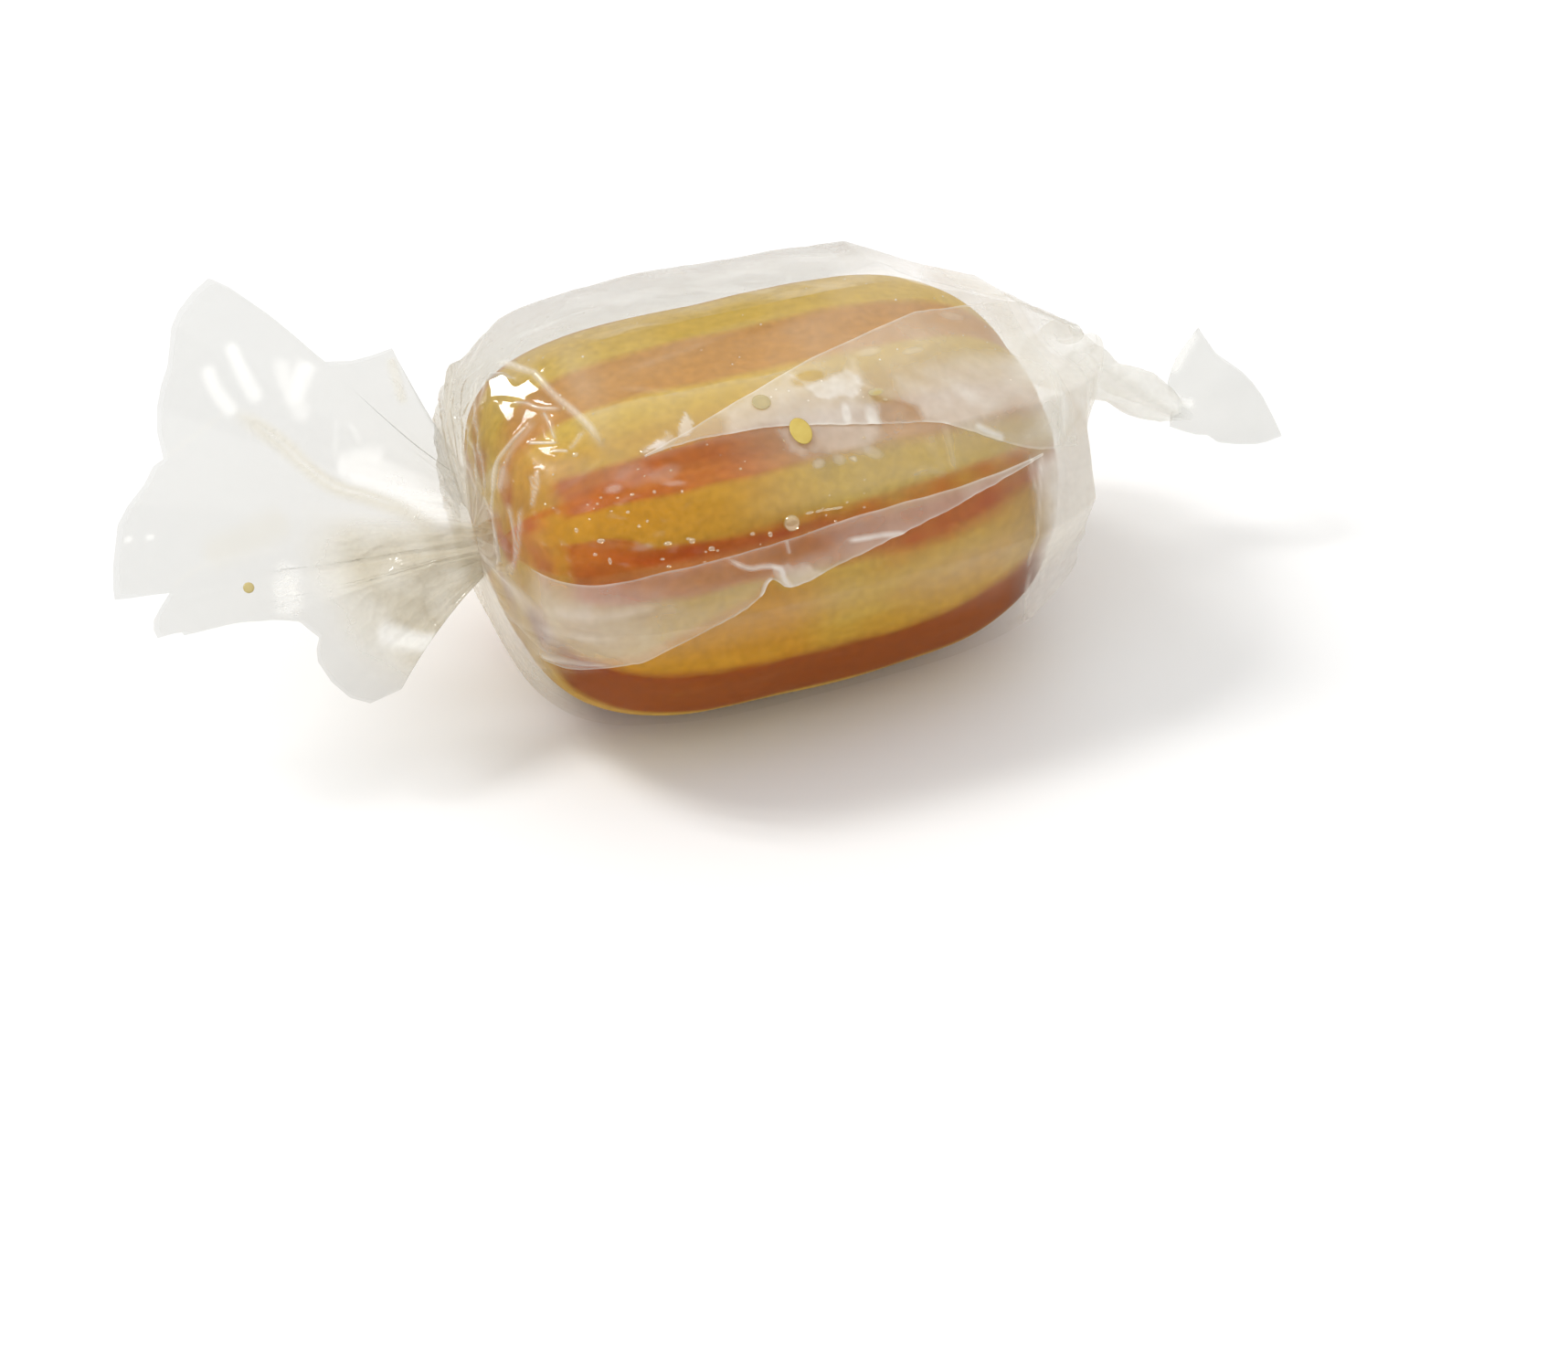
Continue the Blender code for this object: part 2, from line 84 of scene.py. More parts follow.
# Outlines of the fans and how far they lean from their plane: degrees, then reach in mm or lean.
LEFT_OUTLINE = (
    (79.7, 10), (73.7, 10.1), (68.3, 10.4), (62.3, 11.1), (62, 12.8), (61.6, 14.4), (60.6, 15.7),
    (59.9, 16.7), (59.6, 16.9), (58.4, 17.7), (54.4, 17.7), (50.2, 17.6), (47.2, 17.4), (44.5, 17),
    (42.1, 16.7), (39.3, 16.6), (36.2, 16.4), (31.8, 16), (27, 15.4), (25.4, 15.8), (21.6, 16.1),
    (17.5, 16.8), (14.8, 17.2), (12.1, 17.3), (8.6, 17.5), (5.5, 17.6), (4, 17.6), (3.7, 16.3),
    (3.4, 15.1), (1.5, 15.6), (-1, 16.2), (-2.9, 16.4), (-4.6, 16.4), (-5, 15.3), (-6, 15.3),
    (-6.6, 14.1), (-7.5, 12.8), (-9.3, 11.8), (-11.2, 10.8), (-12.8, 10.2), (-16.2, 9.9),
    (-18.7, 9.7), (-20.7, 10.1), (-23.5, 10.4), (-29.4, 10.5), (-35.7, 10.4), (-40.6, 10.1),
    (-46, 8.8))
LEFT_LEANS = (
    (-80, 0.02), (-35, 0.1), (-10, -0.04), (2, 0.08), (18, 0), (36, 0.09), (48, -0.02), (68, 0.1),
    (95, 0.06))
RIGHT_OUTLINE = (
    (78.6, 1.05), (72.5, 1.4), (63.4, 2.4), (55.3, 3.4), (50.4, 4.5), (45.5, 4.2), (40.3, 4),
    (34.5, 3.8), (29.5, 3.7), (21, 3.75), (13.6, 3.9), (6, 4.2), (-0.9, 4.5), (-10.7, 4.9),
    (-21, 5.4), (-30.4, 6), (-36.2, 5.3), (-40.2, 4.8), (-47, 3.9), (-55.7, 3.1), (-57.3, 2.5),
    (-69.6, 2.05), (-86.1, 1.6), (-111, 1.3))
RIGHT_LEANS = ((-170, 0), (-60, -0.04), (-32, 0), (10, 0.05), (50, -0.05), (90, 0.03))
# The rope-like neck: its path in mm, its radius along it in mm, its strands and its turns.
ROPE_PATH = ((15.3, 1.4, 11.8), (17.6, 1.6, 9.9), (19.6, 1.2, 8.7), (22.9, -0.1, 6.7))
ROPE_RADII = ((0, 1.15), (0.25, 0.98), (0.5, 0.84), (0.72, 0.8), (0.86, 0.62), (1, 0.1))
ROPE_STRANDS = ((2, 0.3, 0.2), (5, 0.05, 0.9))
ROPE_TURNS = 0.7
NECK_RADIUS = 1.35 * MM

# ---- lines and patches on the film: X in mm, angle round the axis in degrees ----
SUGAR_DEGREE = 0.155  # mm round the sugar's front for one degree
FILM_DEGREE = 0.16  # mm round the film's front for one degree
LAP_EDGE = ((-8, 123.6), (-5.2, 119), (-0.3, 109), (3.8, 103), (8.3, 96), (12.5, 88))
LENS_TOP = (
    (-14, 134), (-13.1, 131), (-11.6, 130.5), (-9.3, 127.5), (-8, 124), (-6.4, 123), (-4.2, 123.5),
    (-1.3, 125), (2.7, 131), (5.7, 134), (8.5, 143), (10.3, 148), (12.5, 151))
FLAP_TOP = (
    (-14, 154.5), (-13, 156.8), (-11.6, 157), (-9.6, 155.5), (-8.8, 155), (-2.8, 154), (0.6, 152),
    (6.5, 151.5), (10.5, 149))
FLAP_LOW = (
    (-14, 200), (-12.3, 188), (-10.4, 182), (-10, 182), (-8.5, 175.5), (-6.4, 170), (-4.4, 166.5),
    (-3.9, 162.5), (-3.6, 162.5), (-3, 166.3), (-0.5, 163), (2.3, 160), (5.3, 156.5),
    (10.5, 149.6))
MILKY_LINE = ((-9.6, 105), (-5.1, 107), (-0.2, 108), (3, 104))
RIB_LOW = (
    (-13.6, 142), (-12, 147), (-9, 152.5), (-5.4, 152.8), (-1.6, 151), (1.7, 151), (5.4, 150),
    (10, 148))

# Creases: rise and width in mm, milkiness, then turn and angle in degrees on the film's form.
CREASES = (
    (0.09, 0.15, 0.62, ((-46, 62), (-42, 65), (-39, 82), (-36, 94), (-32, 102), (-29, 110),
        (-28, 119))),
    (0.08, 0.11, 0.55, ((-42, 98), (-48, 102), (-55, 105), (-62, 108), (-67, 112), (-72, 123),
        (-77, 132), (-77, 148), (-79, 165), (-80, 178))),
    (0.04, 0.14, 0.26, ((-42, 100), (-48, 104), (-55, 107), (-59, 110), (-64, 116), (-70, 126))),
    (0.05, 0.1, 0.45, ((-50, 91), (-44, 93), (-41, 97), (-38, 99), (-34, 101))),
    (0.04, 0.1, 0.38, ((-40, 98), (-39, 104), (-40, 111))),
    # The next two are painted glints: short thin dashes of thick milk.
    (0.05, 0.06, 0.95, ((-49, 107), (-44, 109), (-39, 111))),
    (0.05, 0.06, 0.95, ((-42, 113), (-37, 115))),
    (0.03, 0.1, 0.35, ((-37, 115), (-33, 112), (-31, 110))),
    (0.05, 0.11, 0.5, ((-48, 117), (-50, 120), (-51, 124), (-55, 129), (-57, 133))),
    (0.05, 0.1, 0.4, ((-55, 129), (-53, 125), (-52, 119))),
    (0.09, 0.11, 0.5, ((-66, 128), (-67, 136), (-67, 142), (-68, 150), (-70, 158), (-74, 168))),
    (0.09, 0.12, 0.42, ((-60, 130), (-64, 138), (-66, 148), (-70, 158), (-76, 166))),
    (0.08, 0.1, 0.4, ((-78, 118), (-77, 128), (-77, 138), (-78, 148), (-81, 160))),
    (0.07, 0.1, 0.42, ((-66, 60), (-69, 72), (-72, 86), (-74, 100), (-78, 114), (-79, 120))),
    (0.07, 0.1, 0.42, ((-69, 52), (-74, 66), (-78, 84), (-81, 104), (-80, 119))),
    (0.06, 0.1, 0.38, ((-55, 46), (-69, 52), (-79, 56), (-84, 72), (-87, 100))),
    (0.06, 0.1, 0.38, ((-49, 60), (-58, 72), (-65, 84), (-70, 100), (-74, 114), (-78, 124))),
    (0.12, 0.2, 0.4, ((-21, 123), (-17, 121.5), (-13, 120))),
    (0.05, 0.12, 0.32, ((-15, 118), (-14, 119), (-15, 122))),
    (0.08, 0.2, 0.06, ((7, 136), (7, 142), (8, 148))),
    (0.06, 0.16, 0.14, ((9, 135), (9, 142), (9, 148))),
    (0.05, 0.16, 0.14, ((4, 146), (6, 145), (8, 148))),
    (0.1, 0.14, 0.62, ((13, 137), (15, 139.5), (18, 142.5))),
    (0.07, 0.09, 0.34, ((26, 147), (24, 155), (23, 164), (22, 174), (24, 184))),
    (0.07, 0.08, 0.34, ((28, 150), (28, 160), (27, 170), (29, 184), (33, 198))),
    (0.06, 0.08, 0.3, ((23, 148), (22, 153), (23, 159))),
    (0.06, 0.09, 0.26, ((31, 146), (31, 158), (31, 170), (35, 186), (40, 200))),
    (0.09, 0.14, 0.34, ((24, 180), (27, 196), (32, 210), (38, 224))),
    (0.06, 0.16, 0.12, ((37, 122), (32, 137), (31, 150))),
    (0.06, 0.2, 0.12, ((45, 128), (42, 143), (40, 162))),
    (0.07, 0.2, 0.12, ((52, 120), (50, 140), (49, 165))))
# Creases of the flap alone.
FLAP_CREASES = (
    (0.12, 0.1, 0.7, ((-11, 154.5), (-8, 158.6), (-6, 158.6), (-4, 159.8), (-4, 163.5), (-3, 166))),
    (0.08, 0.09, 0.6, ((-7, 166.5), (-6, 162.8), (-5, 162))),
    (0.05, 0.08, 0.45, ((-3, 153.8), (-3, 157.5))),
    (0.08, 0.16, 0, ((-70, 189), (-60, 177.8), (-50, 176.2), (-44, 178))),
    (0.05, 0.12, 0.3, ((-62, 194.2), (-50, 185.2), (-38, 183))),
    (0.05, 0.2, 0.14, ((-60, 168), (-42, 166), (-24, 163))),
    (0.05, 0.2, 0.14, ((-66, 180), (-52, 174), (-36, 171))),
    (0.08, 0.1, 0.75, ((0, 157.6), (2, 159), (3, 159.8))))

# A flat facet of the taut film that catches the window: direction, middle and outline.
FACET_FACING = np.array((-0.4425, -0.2693, 0.8554))
FACET_MIDDLE = (-12.4, 85)
FACET_OUTLINE = (
    (-12.7, 73), (-12, 82), (-12, 86), (-11.2, 92.5), (-11.9, 92.8), (-12.7, 88.5), (-13.3, 85.5),
    (-13.2, 79))

# Soft patches of milk: X and angle of the middle, half length and width in mm, lean, amount.
COVER_PATCHES = (
    (-7.4, 98, 4.2, 0.6, -6, 0.02), (-14, 116, 0.4, 1, 0, 0.2), (-8.7, 128.5, 0.9, 0.5, 0, 0.12),
    (-9.8, 68, 3, 0.8, -10, 0.06), (-0.5, 88, 4.5, 1, 0, -0.1), (-0.5, 137.2, 0.28, 0.18, 0, 0.3),
    (0.5, 137.4, 0.3, 0.2, 20, 0.3), (1.2, 138, 0.16, 0.1, 20, 0.45),
    (2.2, 137.8, 0.45, 0.22, 25, 0.25), (-10.8, 145, 0.8, 0.25, 5, 0.03),
    (-9.2, 147.5, 0.5, 0.15, 0, 0.16), (-9.8, 130.6, 0.35, 0.2, 0, 0.26),
    (-7.4, 130, 0.7, 0.35, -10, 0.14), (-7.2, 133.2, 0.5, 0.12, 10, 0.22),
    (-11.4, 121, 1.2, 0.8, 0, 0.08), (3, 146, 3, 0.8, 0, 0.04), (7, 178, 4.5, 1.8, 0, 0.06),
    (10.5, 190, 1.6, 3, 0, 0.12))
LAP_PATCHES = (
    (0.5, 113.2, 0.75, 0.36, 0, -0.5), (-2, 117, 0.46, 0.42, 0, -0.16),
    (1.6, 126.2, 0.2, 0.5, 10, 0.35), (2.7, 128.6, 0.3, 0.5, 0, 0.35),
    (8.9, 98.3, 0.6, 0.3, 0, 0.14), (3.9, 108.8, 0.6, 0.2, 0, 0.16),
    (5.9, 112, 0.5, 0.16, 0, 0.14), (8.8, 124, 2.6, 1.6, 0, 0.22), (9.6, 139, 1, 0.5, 0, -0.16))
FLAP_PATCHES = (
    (-13, 170, 2, 1.8, 0, 0.04), (-1.9, 161.5, 1, 0.5, -8, 0.12), (-7.4, 169, 1.8, 1, 0, -0.09))
# Areas with a clear edge: milkiness, softness of the edge in mm, corners as X and angle.
COVER_AREAS = (
    (0.26, 0.5, ((-0.5, 125), (2.9, 130.5), (2.4, 135.8), (1.5, 136.5), (0.3, 135), (-0.7, 133.5),
        (-1.1, 135), (-1.6, 132), (-1.6, 126))),
    (0.5, 0.1, ((-6.1, 118), (-5.5, 114), (-5.2, 117), (-5.7, 121.5), (-6.2, 121.5))),
    (0.55, 0.14, ((-7.9, 122.2), (-7.2, 120.2), (-6.8, 121.6), (-7.1, 123.2))))
# The lap's first two areas, its white zone, are milk and in part a painted reflection of the bright
# light overhead.
LAP_AREAS = (
    (0.34, 0.9, ((-3.9, 117), (-1.8, 112), (-0.3, 109), (0, 111), (1, 115.5), (1.7, 115.5),
        (2.4, 116.2), (2.9, 111.8), (3.1, 120), (2.7, 120), (2.5, 123), (3.1, 126), (3, 132),
        (-0.2, 128), (-1.7, 125), (-3.9, 124))),
    (0.34, 0.25, ((-0.2, 110.5), (0.6, 114.5), (1.6, 114.8), (2.6, 112.5), (2.9, 119), (2.2, 122),
        (0.6, 120))),
    (0.26, 0.8, ((4.6, 119.3), (5.4, 120.8), (6.4, 126.8), (7.3, 134.2), (7.3, 139), (6.6, 138),
        (5.8, 135), (5.1, 132), (4.6, 126.8), (4.5, 123))),
    (0.2, 1.2, ((5.6, 117.8), (7.3, 120.8), (8.7, 134.2), (7.8, 136), (6.5, 126))),
    (-0.3, 0.6, ((3.2, 123.8), (4, 125.2), (4.5, 127.5), (5.1, 132), (5, 133.6), (3.1, 132))))
FLAP_AREAS = (
    (0.09, 0.6, ((-13.2, 164), (-10.9, 160.5), (-7.7, 164.2), (-4.7, 167), (-5.2, 171), (-8.4, 172),
        (-9.7, 182), (-10.4, 182), (-12.7, 173.2), (-13.8, 173.2))),
    (-0.12, 0.8, ((-10.4, 156), (-7.4, 155.2), (-4.7, 155.2), (0, 153), (6, 150.5), (6, 156),
        (-1.2, 159.5), (-3, 159.5), (-4.6, 161.2), (-8.5, 160.5))),
    (0.34, 0.3, ((-3.6, 159.8), (-2.1, 160.5), (-1.2, 164.2), (-3, 167), (-3.5, 164.2))))

# Points of the meshes: rows along the axis and columns round it, or round the two layers.
SWEET_ROWS, SWEET_COLUMNS = 222, 400
COVER_ROWS, COVER_COLUMNS = 278, 356
LAP_GRID, FLAP_GRID = (70, 330), (80, 360)
FAN_GRID, LEAF_GRID = (118, 330, 120), (70, 190, 80)
ROPE_ROWS, ROPE_COLUMNS = 200, 120
DROP_COLUMNS = 28
DROP_RINGS = (0, 18, 36, 54, 70, 83)  # degrees up from a drop's foot

# Windows: where an effect starts, eases in, ends and eases out, along X in mm and in degrees.
OPEN = (-999, 1, 999, 1)
WET_SHOULDER = ((-999, 1, -10.6, 1.2), (84, 14, 160, 14))
FILM_SHOULDER = ((-999, 1, -9.2, 1.6), (76, 12, 166, 10))
FILM_LOW = (174, 12, 340, 20)
FILM_UPPER_LEFT = ((-9.8, 2, 2, 5), (78, 10, 120, 10))
# Where the brown is less strong: amount and window.
PALE_BROWN = (
    (0.85, ((-999, 1, -11.4, 1), (110, 6, 144, 6))),
    (0.8, ((-999, 1, -11.8, 0.7), (142, 6, 178, 10))))
# Milky veils of the film: amount and window.
VEILS = (
    (0.1, ((13, 1, 999, 1), OPEN)),
    (0.7, ((9.3, 1.4, 17, 2), (146, 8, 225, 20))),
    (0.4, ((-999, 1, -12.9, 1.2), (166, 10, 262, 20))),
    (0.14, ((-6, 6, 11, 2), (100, 30, 149.5, 5))),
    (0.34, ((9.2, 1.6, 13, 1.5), (112, 10, 150, 6))),
    (0.05, (OPEN, (-4, 20, 70, 22))))

# Features of the fans: rise and width in mm, milkiness (the white ones are painted highlights),
# painted warm shade, crinkles, degrees and reach in mm.
FAN_LINES = (
    (0.2, 0.3, 0.06, 0.62, 0.3, ((39.5, 13.4), (39.8, 12.2), (37.7, 10.2), (34.6, 9.1), (28.9, 7.4),
        (28, 5.7), (23.5, 3.8), (17.8, 2.3), (7.5, 1.1))),
    (0.1, 0.08, 0.4, 0.3, 0, ((39.8, 12.2), (37.7, 10.2), (34.6, 9.1), (28.9, 7.4), (28, 5.7),
        (23.5, 3.8))),
    (0, 0.24, 0.95, 0, 0, ((45.2, 15.2), (42.2, 14.3), (39.4, 12.8))),
    (0, 0.26, 0.95, 0, 0, ((51.2, 14.9), (47.6, 13.8), (43.6, 12))),
    (0, 0.36, 0.9, 0, 0, ((59.5, 11.4), (53.4, 11.1), (45.5, 10.6))),
    (0, 0.3, 0.6, 0, 0, ((55.5, 12.6), (50.5, 11.6), (44.5, 9.6))),
    (0.04, 0.48, 1, 0, 0, ((36.5, 7.4), (37.5, 5.6), (34.5, 3.9), (24, 2.3), (15, 1.5))),
    (0, 0.4, 0.9, 0, 0, ((36, 7.6), (42, 6.2), (43, 5.4))),
    (0.03, 0.5, 1.4, 0, 0, ((-26, 7.4), (-36.3, 6.5), (-52, 6))),
    (0.06, 0.2, 0.16, 0.45, 0.5, ((78.3, 9.7), (76, 8.4), (72.8, 7))),
    (0.05, 0.1, 0.12, 0.1, 0, ((26.5, 15.5), (31.8, 14.5), (37.3, 13.7), (39.5, 13.3))),
    (0.05, 0.1, 0.12, 0.1, 0, ((3.2, 15.3), (7, 13.8), (7.8, 11.8), (8.8, 9.6))),
    (0, 0.6, 0.02, 0.26, 0, ((8.5, 13.6), (11.5, 11.2), (17.5, 9.2))),
    (0.08, 0.45, 0.45, 0, 0.8, ((5.5, 9.2), (0.6, 9.9), (-6.3, 10.1), (-11.5, 10.7))),
    (0.1, 0.22, 0.02, 0.9, 0, ((5.5, 5), (-6.7, 3.6), (-13.2, 1.3))),
    (0.04, 0.09, 1, 0, 0, ((12.6, 16.9), (12.7, 16.5))),
    (0.04, 0.09, 1, 0, 0, ((12.9, 15.9), (12.9, 15.5))),
    (0.03, 0.1, 0.3, 0, 0, ((49, 8.5), (38.1, 7.7))),
    (0.03, 0.1, 0.3, 0, 0, ((50.6, 7.9), (45.4, 6.8))))
# Painted highlights on the leaf: white streaks of milk.
LEAF_LINES = (
    (0.08, 0.26, 0.9, 0, 0, ((51.5, 4.3), (56.8, 2.9), (66, 1.4))),
    (0.08, 0.18, 0.9, 0, 0, ((-3, 0.5), (-14, 1.3))))

# Drops on the film: X in mm and angle, half length and width in mm, height, how pale and solid.
# A clear bead leaves out the last two.
DROPS = (
    (-1, 128, 0.5, 0.72, 0.04, 0, 0.92), (-2, 117, 0.44, 0.42, 0.03, 1, 0.45),
    (2.9, 122, 0.38, 0.2, 0.03, 0.5, 0.7), (-2.3, 150, 0.4, 0.4, 0.26, 0.2, 0.1),
    (-4.2, 150.3, 0.12, 0.09, 0.08), (-3.4, 151.5, 0.12, 0.14, 0.1), (-8.8, 141, 0.08, 0.07, 0.07),
    (-9.2, 141.8, 0.09, 0.08, 0.08), (-11.8, 140.2, 0.1, 0.13, 0.09), (-10.9, 144, 0.2, 0.12, 0.1),
    (-10.7, 150, 0.09, 0.18, 0.09), (-8.1, 147.8, 0.2, 0.1, 0.1), (-7, 148.5, 0.16, 0.14, 0.1),
    (-6.2, 151.6, 0.16, 0.13, 0.1), (-8.2, 134.2, 0.1, 0.1, 0.09), (-7, 135.8, 0.08, 0.08, 0.07),
    (-10.5, 101.2, 0.09, 0.09, 0.08), (-12.7, 131.2, 0.08, 0.08, 0.07),
    (-10.8, 117, 0.16, 0.14, 0.1), (-13.5, 84, 0.12, 0.14, 0.1), (3.2, 124.6, 0.12, 0.1, 0.09))
BEAD_PALE = 0.2
SYRUP_LIFT, BEAD_LIFT, GLINT_LIFT, SPECK_LIFT = 0.24, 0.03, 0.02, -0.01
SYRUP_SOLID = 0.3  # drops more solid than this lie over the laps
# A row of glints on the flap, specks along two lines, and the drop on the fan.
GLINT_ENDS = ((-1.4, 148.6), (0, 149.2))
GLINT_COUNT = 5
SPECK_COUNT = 40
FAN_DROP = (-1, 10.9, 0.26)

# ---- colours: what the sugar, the syrup and the film are made of, with painted light and shade ----
AMBER = ((0.53, 0.315, 0.034), (0.58, 0.375, 0.07), (0.51, 0.27, 0.032))
# Painted light on the upper stripes and the lens: a lighter amber and a lighter red; painted shade
# on the lower stripes: a darker red.
AMBER_PAINTED_LIGHT = (0.6, 0.412, 0.064)
RED = ((0.46, 0.15, 0.028), (0.51, 0.205, 0.045), (0.41, 0.105, 0.018))
RED_PAINTED_LIGHT = (0.5, 0.25, 0.052)
RED_PAINTED_SHADE = (0.26, 0.056, 0.005)
WET_TINT = (0.99, 0.76, 0.42)
# Deeper orange: wet lines where the film touches the sugar, and painted shade in the valley under
# the rib.
WET_LINE_AND_SHADE_TINT = (0.92, 0.48, 0.2)
SYRUP_COLOURS = ((0.68, 0.52, 0.13), (0.63, 0.46, 0.1))
PALE_SYRUP = (0.62, 0.53, 0.27)
SYRUP_TINT = (0.97, 0.93, 0.8)
SYRUP_GLOSS = (1, 0.97, 0.84)
# The second milk and the last tint are painted shade: darker, warmer film where it gathers and
# folds.
MILK, PAINTED_SHADE_MILK = (0.955, 0.948, 0.9), (0.57, 0.51, 0.385)
CLEAR_TINT, GREY_TINT, PAINTED_SHADE_TINT = (0.974, 0.974, 0.968), (0.77, 0.772, 0.766), (0.765, 0.725, 0.61)
WHITE = (1, 1, 1)
FLOOR_GREY = (0.94, 0.94, 0.94)


# ---- smooth steps, noise and lines ----

def ease(value):
    """Smooth step from 0 to 1."""
    value = np.clip(value, 0, 1)
    return value * value * (3 - 2 * value)


def rise(value, start, run):
    """Smooth step from 0 at the start to 1 at the end of the run."""
    return ease((value - start) / run)


def fall(value, end, run):
    """Smooth step from 1 down to 0 at the end."""
    return ease((end - value) / run)


def span(value, start, run, end, drop):
    """1 between a start and an end, with soft flanks."""
    return rise(value, start, run) * fall(value, end, drop)


def window(x, degrees, limits):
    """A span along X times a span round the axis."""
    return span(x, *limits[0]) * span(degrees, *limits[1])


def bell(value, middle, width):
    """A bell curve, 1 at its middle."""
    return np.exp(-((value - middle) / width) ** 2)


def around(angle, middle):
    """The shortest turn from a middle angle, from minus half a turn to half a turn."""
    return (angle - middle + math.pi) % TURN - math.pi


def noise(points, cell, seed):
    """Smooth gradient noise of points in space, from about -1 to 1."""
    place = np.asarray(points, float) / cell
    base = np.floor(place).astype(np.int64)
    part = place - base
    fade = part ** 3 * (part * (part * 6 - 15) + 10)
    total = np.zeros(place.shape[:-1])
    for corner in np.ndindex(2, 2, 2):
        lattice = base + np.array(corner)
        mixed = (lattice[..., 0] * 73856093) ^ (lattice[..., 1] * 19349663)
        mixed = mixed ^ (lattice[..., 2] * 83492791) ^ ((seed + 1) * 40503 * 97)
        mixed = ((mixed ^ (mixed >> 13)) * 1274126177) & 0x7FFFFFFF
        mixed = mixed ^ (mixed >> 15)
        spin = (mixed % 1024) * (TURN / 1024)
        up = ((mixed >> 10) % 1024) / 511.5 - 1
        flat = np.sqrt(1 - up * up)
        away = part - np.array(corner)
        slope = away[..., 0] * flat * np.cos(spin) + away[..., 1] * flat * np.sin(spin)
        slope = slope + away[..., 2] * up
        total += np.where(np.array(corner) == 1, fade, 1 - fade).prod(-1) * slope
    return total * 1.7


def ridges(points, cell, seed):
    """Noise with sharp crests, from 0 to 1."""
    return 1 - np.minimum(np.abs(noise(points, cell, seed)) * 2, 1)


def read_line(place, line):
    """A line's second value at places along its first."""
    return np.interp(place, *zip(*line))


def cut_corners(line):
    """A line with its inner corners cut off twice."""
    line = np.array(line, float)
    for _ in range(2):
        ahead = 0.75 * line[:-1] + 0.25 * line[1:]
        behind = 0.25 * line[:-1] + 0.75 * line[1:]
        inner = np.stack([ahead, behind], 1).reshape(-1, line.shape[1])
        line = np.concatenate([line[:1], inner[1:-1], line[-1:]])
    return line


def line_shape(points, corners, width):
    """Closeness to a line of straight pieces, from 0 to 1, tapering out at both of its ends."""
    flat = points.reshape(-1, points.shape[-1])
    low, high = corners.min(0) - width, corners.max(0) + width
    picked = np.nonzero(np.all((flat > low) & (flat < high), -1))[0]
    spots = flat[picked]
    near = np.full(len(picked), 2 * width)
    along = np.zeros(len(picked))
    steps = np.linalg.norm(np.diff(corners, axis=0), axis=1)
    reached = np.concatenate([[0], np.cumsum(steps)]) / steps.sum()
    for index, start in enumerate(corners[:-1]):
        edge = corners[index + 1] - start
        share = np.clip((spots - start) @ edge / (edge @ edge), 0, 1)
        away = np.linalg.norm(spots - start - share[:, None] * edge, axis=1)
        closer = away < near
        near = np.where(closer, away, near)
        passed = reached[index] + share * (reached[index + 1] - reached[index])
        along = np.where(closer, passed, along)
    shape = np.zeros(len(flat))
    taper = ease(np.minimum(along, 1 - along) / 0.2 + 0.15)
    shape[picked] = np.clip(1 - near / width, 0, 1) * taper
    return shape.reshape(points.shape[:-1])


def end_profile(turn, power):
    """Place along the axis and girth of a blunt-ended body."""
    along = np.sign(turn) * np.abs(np.sin(turn)) ** (2 / power)
    return along, np.abs(np.cos(turn)) ** (2 / power)


def even_turns(count, left_power, right_power, reach, girth, last, right_share=1):
    """Turns at even distances along a blunt-ended profile, or wider apart at its right end."""
    fine = np.linspace(-QUARTER, QUARTER, 8001) * last
    along, size = end_profile(fine, np.where(fine < 0, left_power, right_power))
    steps = np.hypot(np.diff(along) * reach, np.diff(size) * girth)
    steps *= np.where(along[1:] > 0.9, right_share, 1)
    length = np.concatenate([[0], np.cumsum(steps)])
    return np.interp(np.linspace(0, length[-1], count), length, fine)


def front_angles(count, middle, half, back_share):
    """Angles round the axis, wider apart at the back than within half a span of the middle."""
    fine = np.linspace(0, TURN, 7201)
    facing = np.cos(fine[1:] - math.radians(middle))
    front = ease((facing - math.cos(math.radians(half))) / 0.2 + 0.5)
    total = np.concatenate([[0], np.cumsum(back_share + (1 - back_share) * front)])
    return np.interp(np.arange(count) * (total[-1] / count), total, fine)


def ring_points(place, radius, angle, y=0, z=0):
    """Points round an axis along X that is shifted by y and z."""
    return np.stack([place, y + radius * np.cos(angle), z + radius * np.sin(angle)], -1)


def new_object(name, data):
    thing = bpy.data.objects.new(name, data)
    bpy.context.scene.collection.objects.link(thing)
    return thing


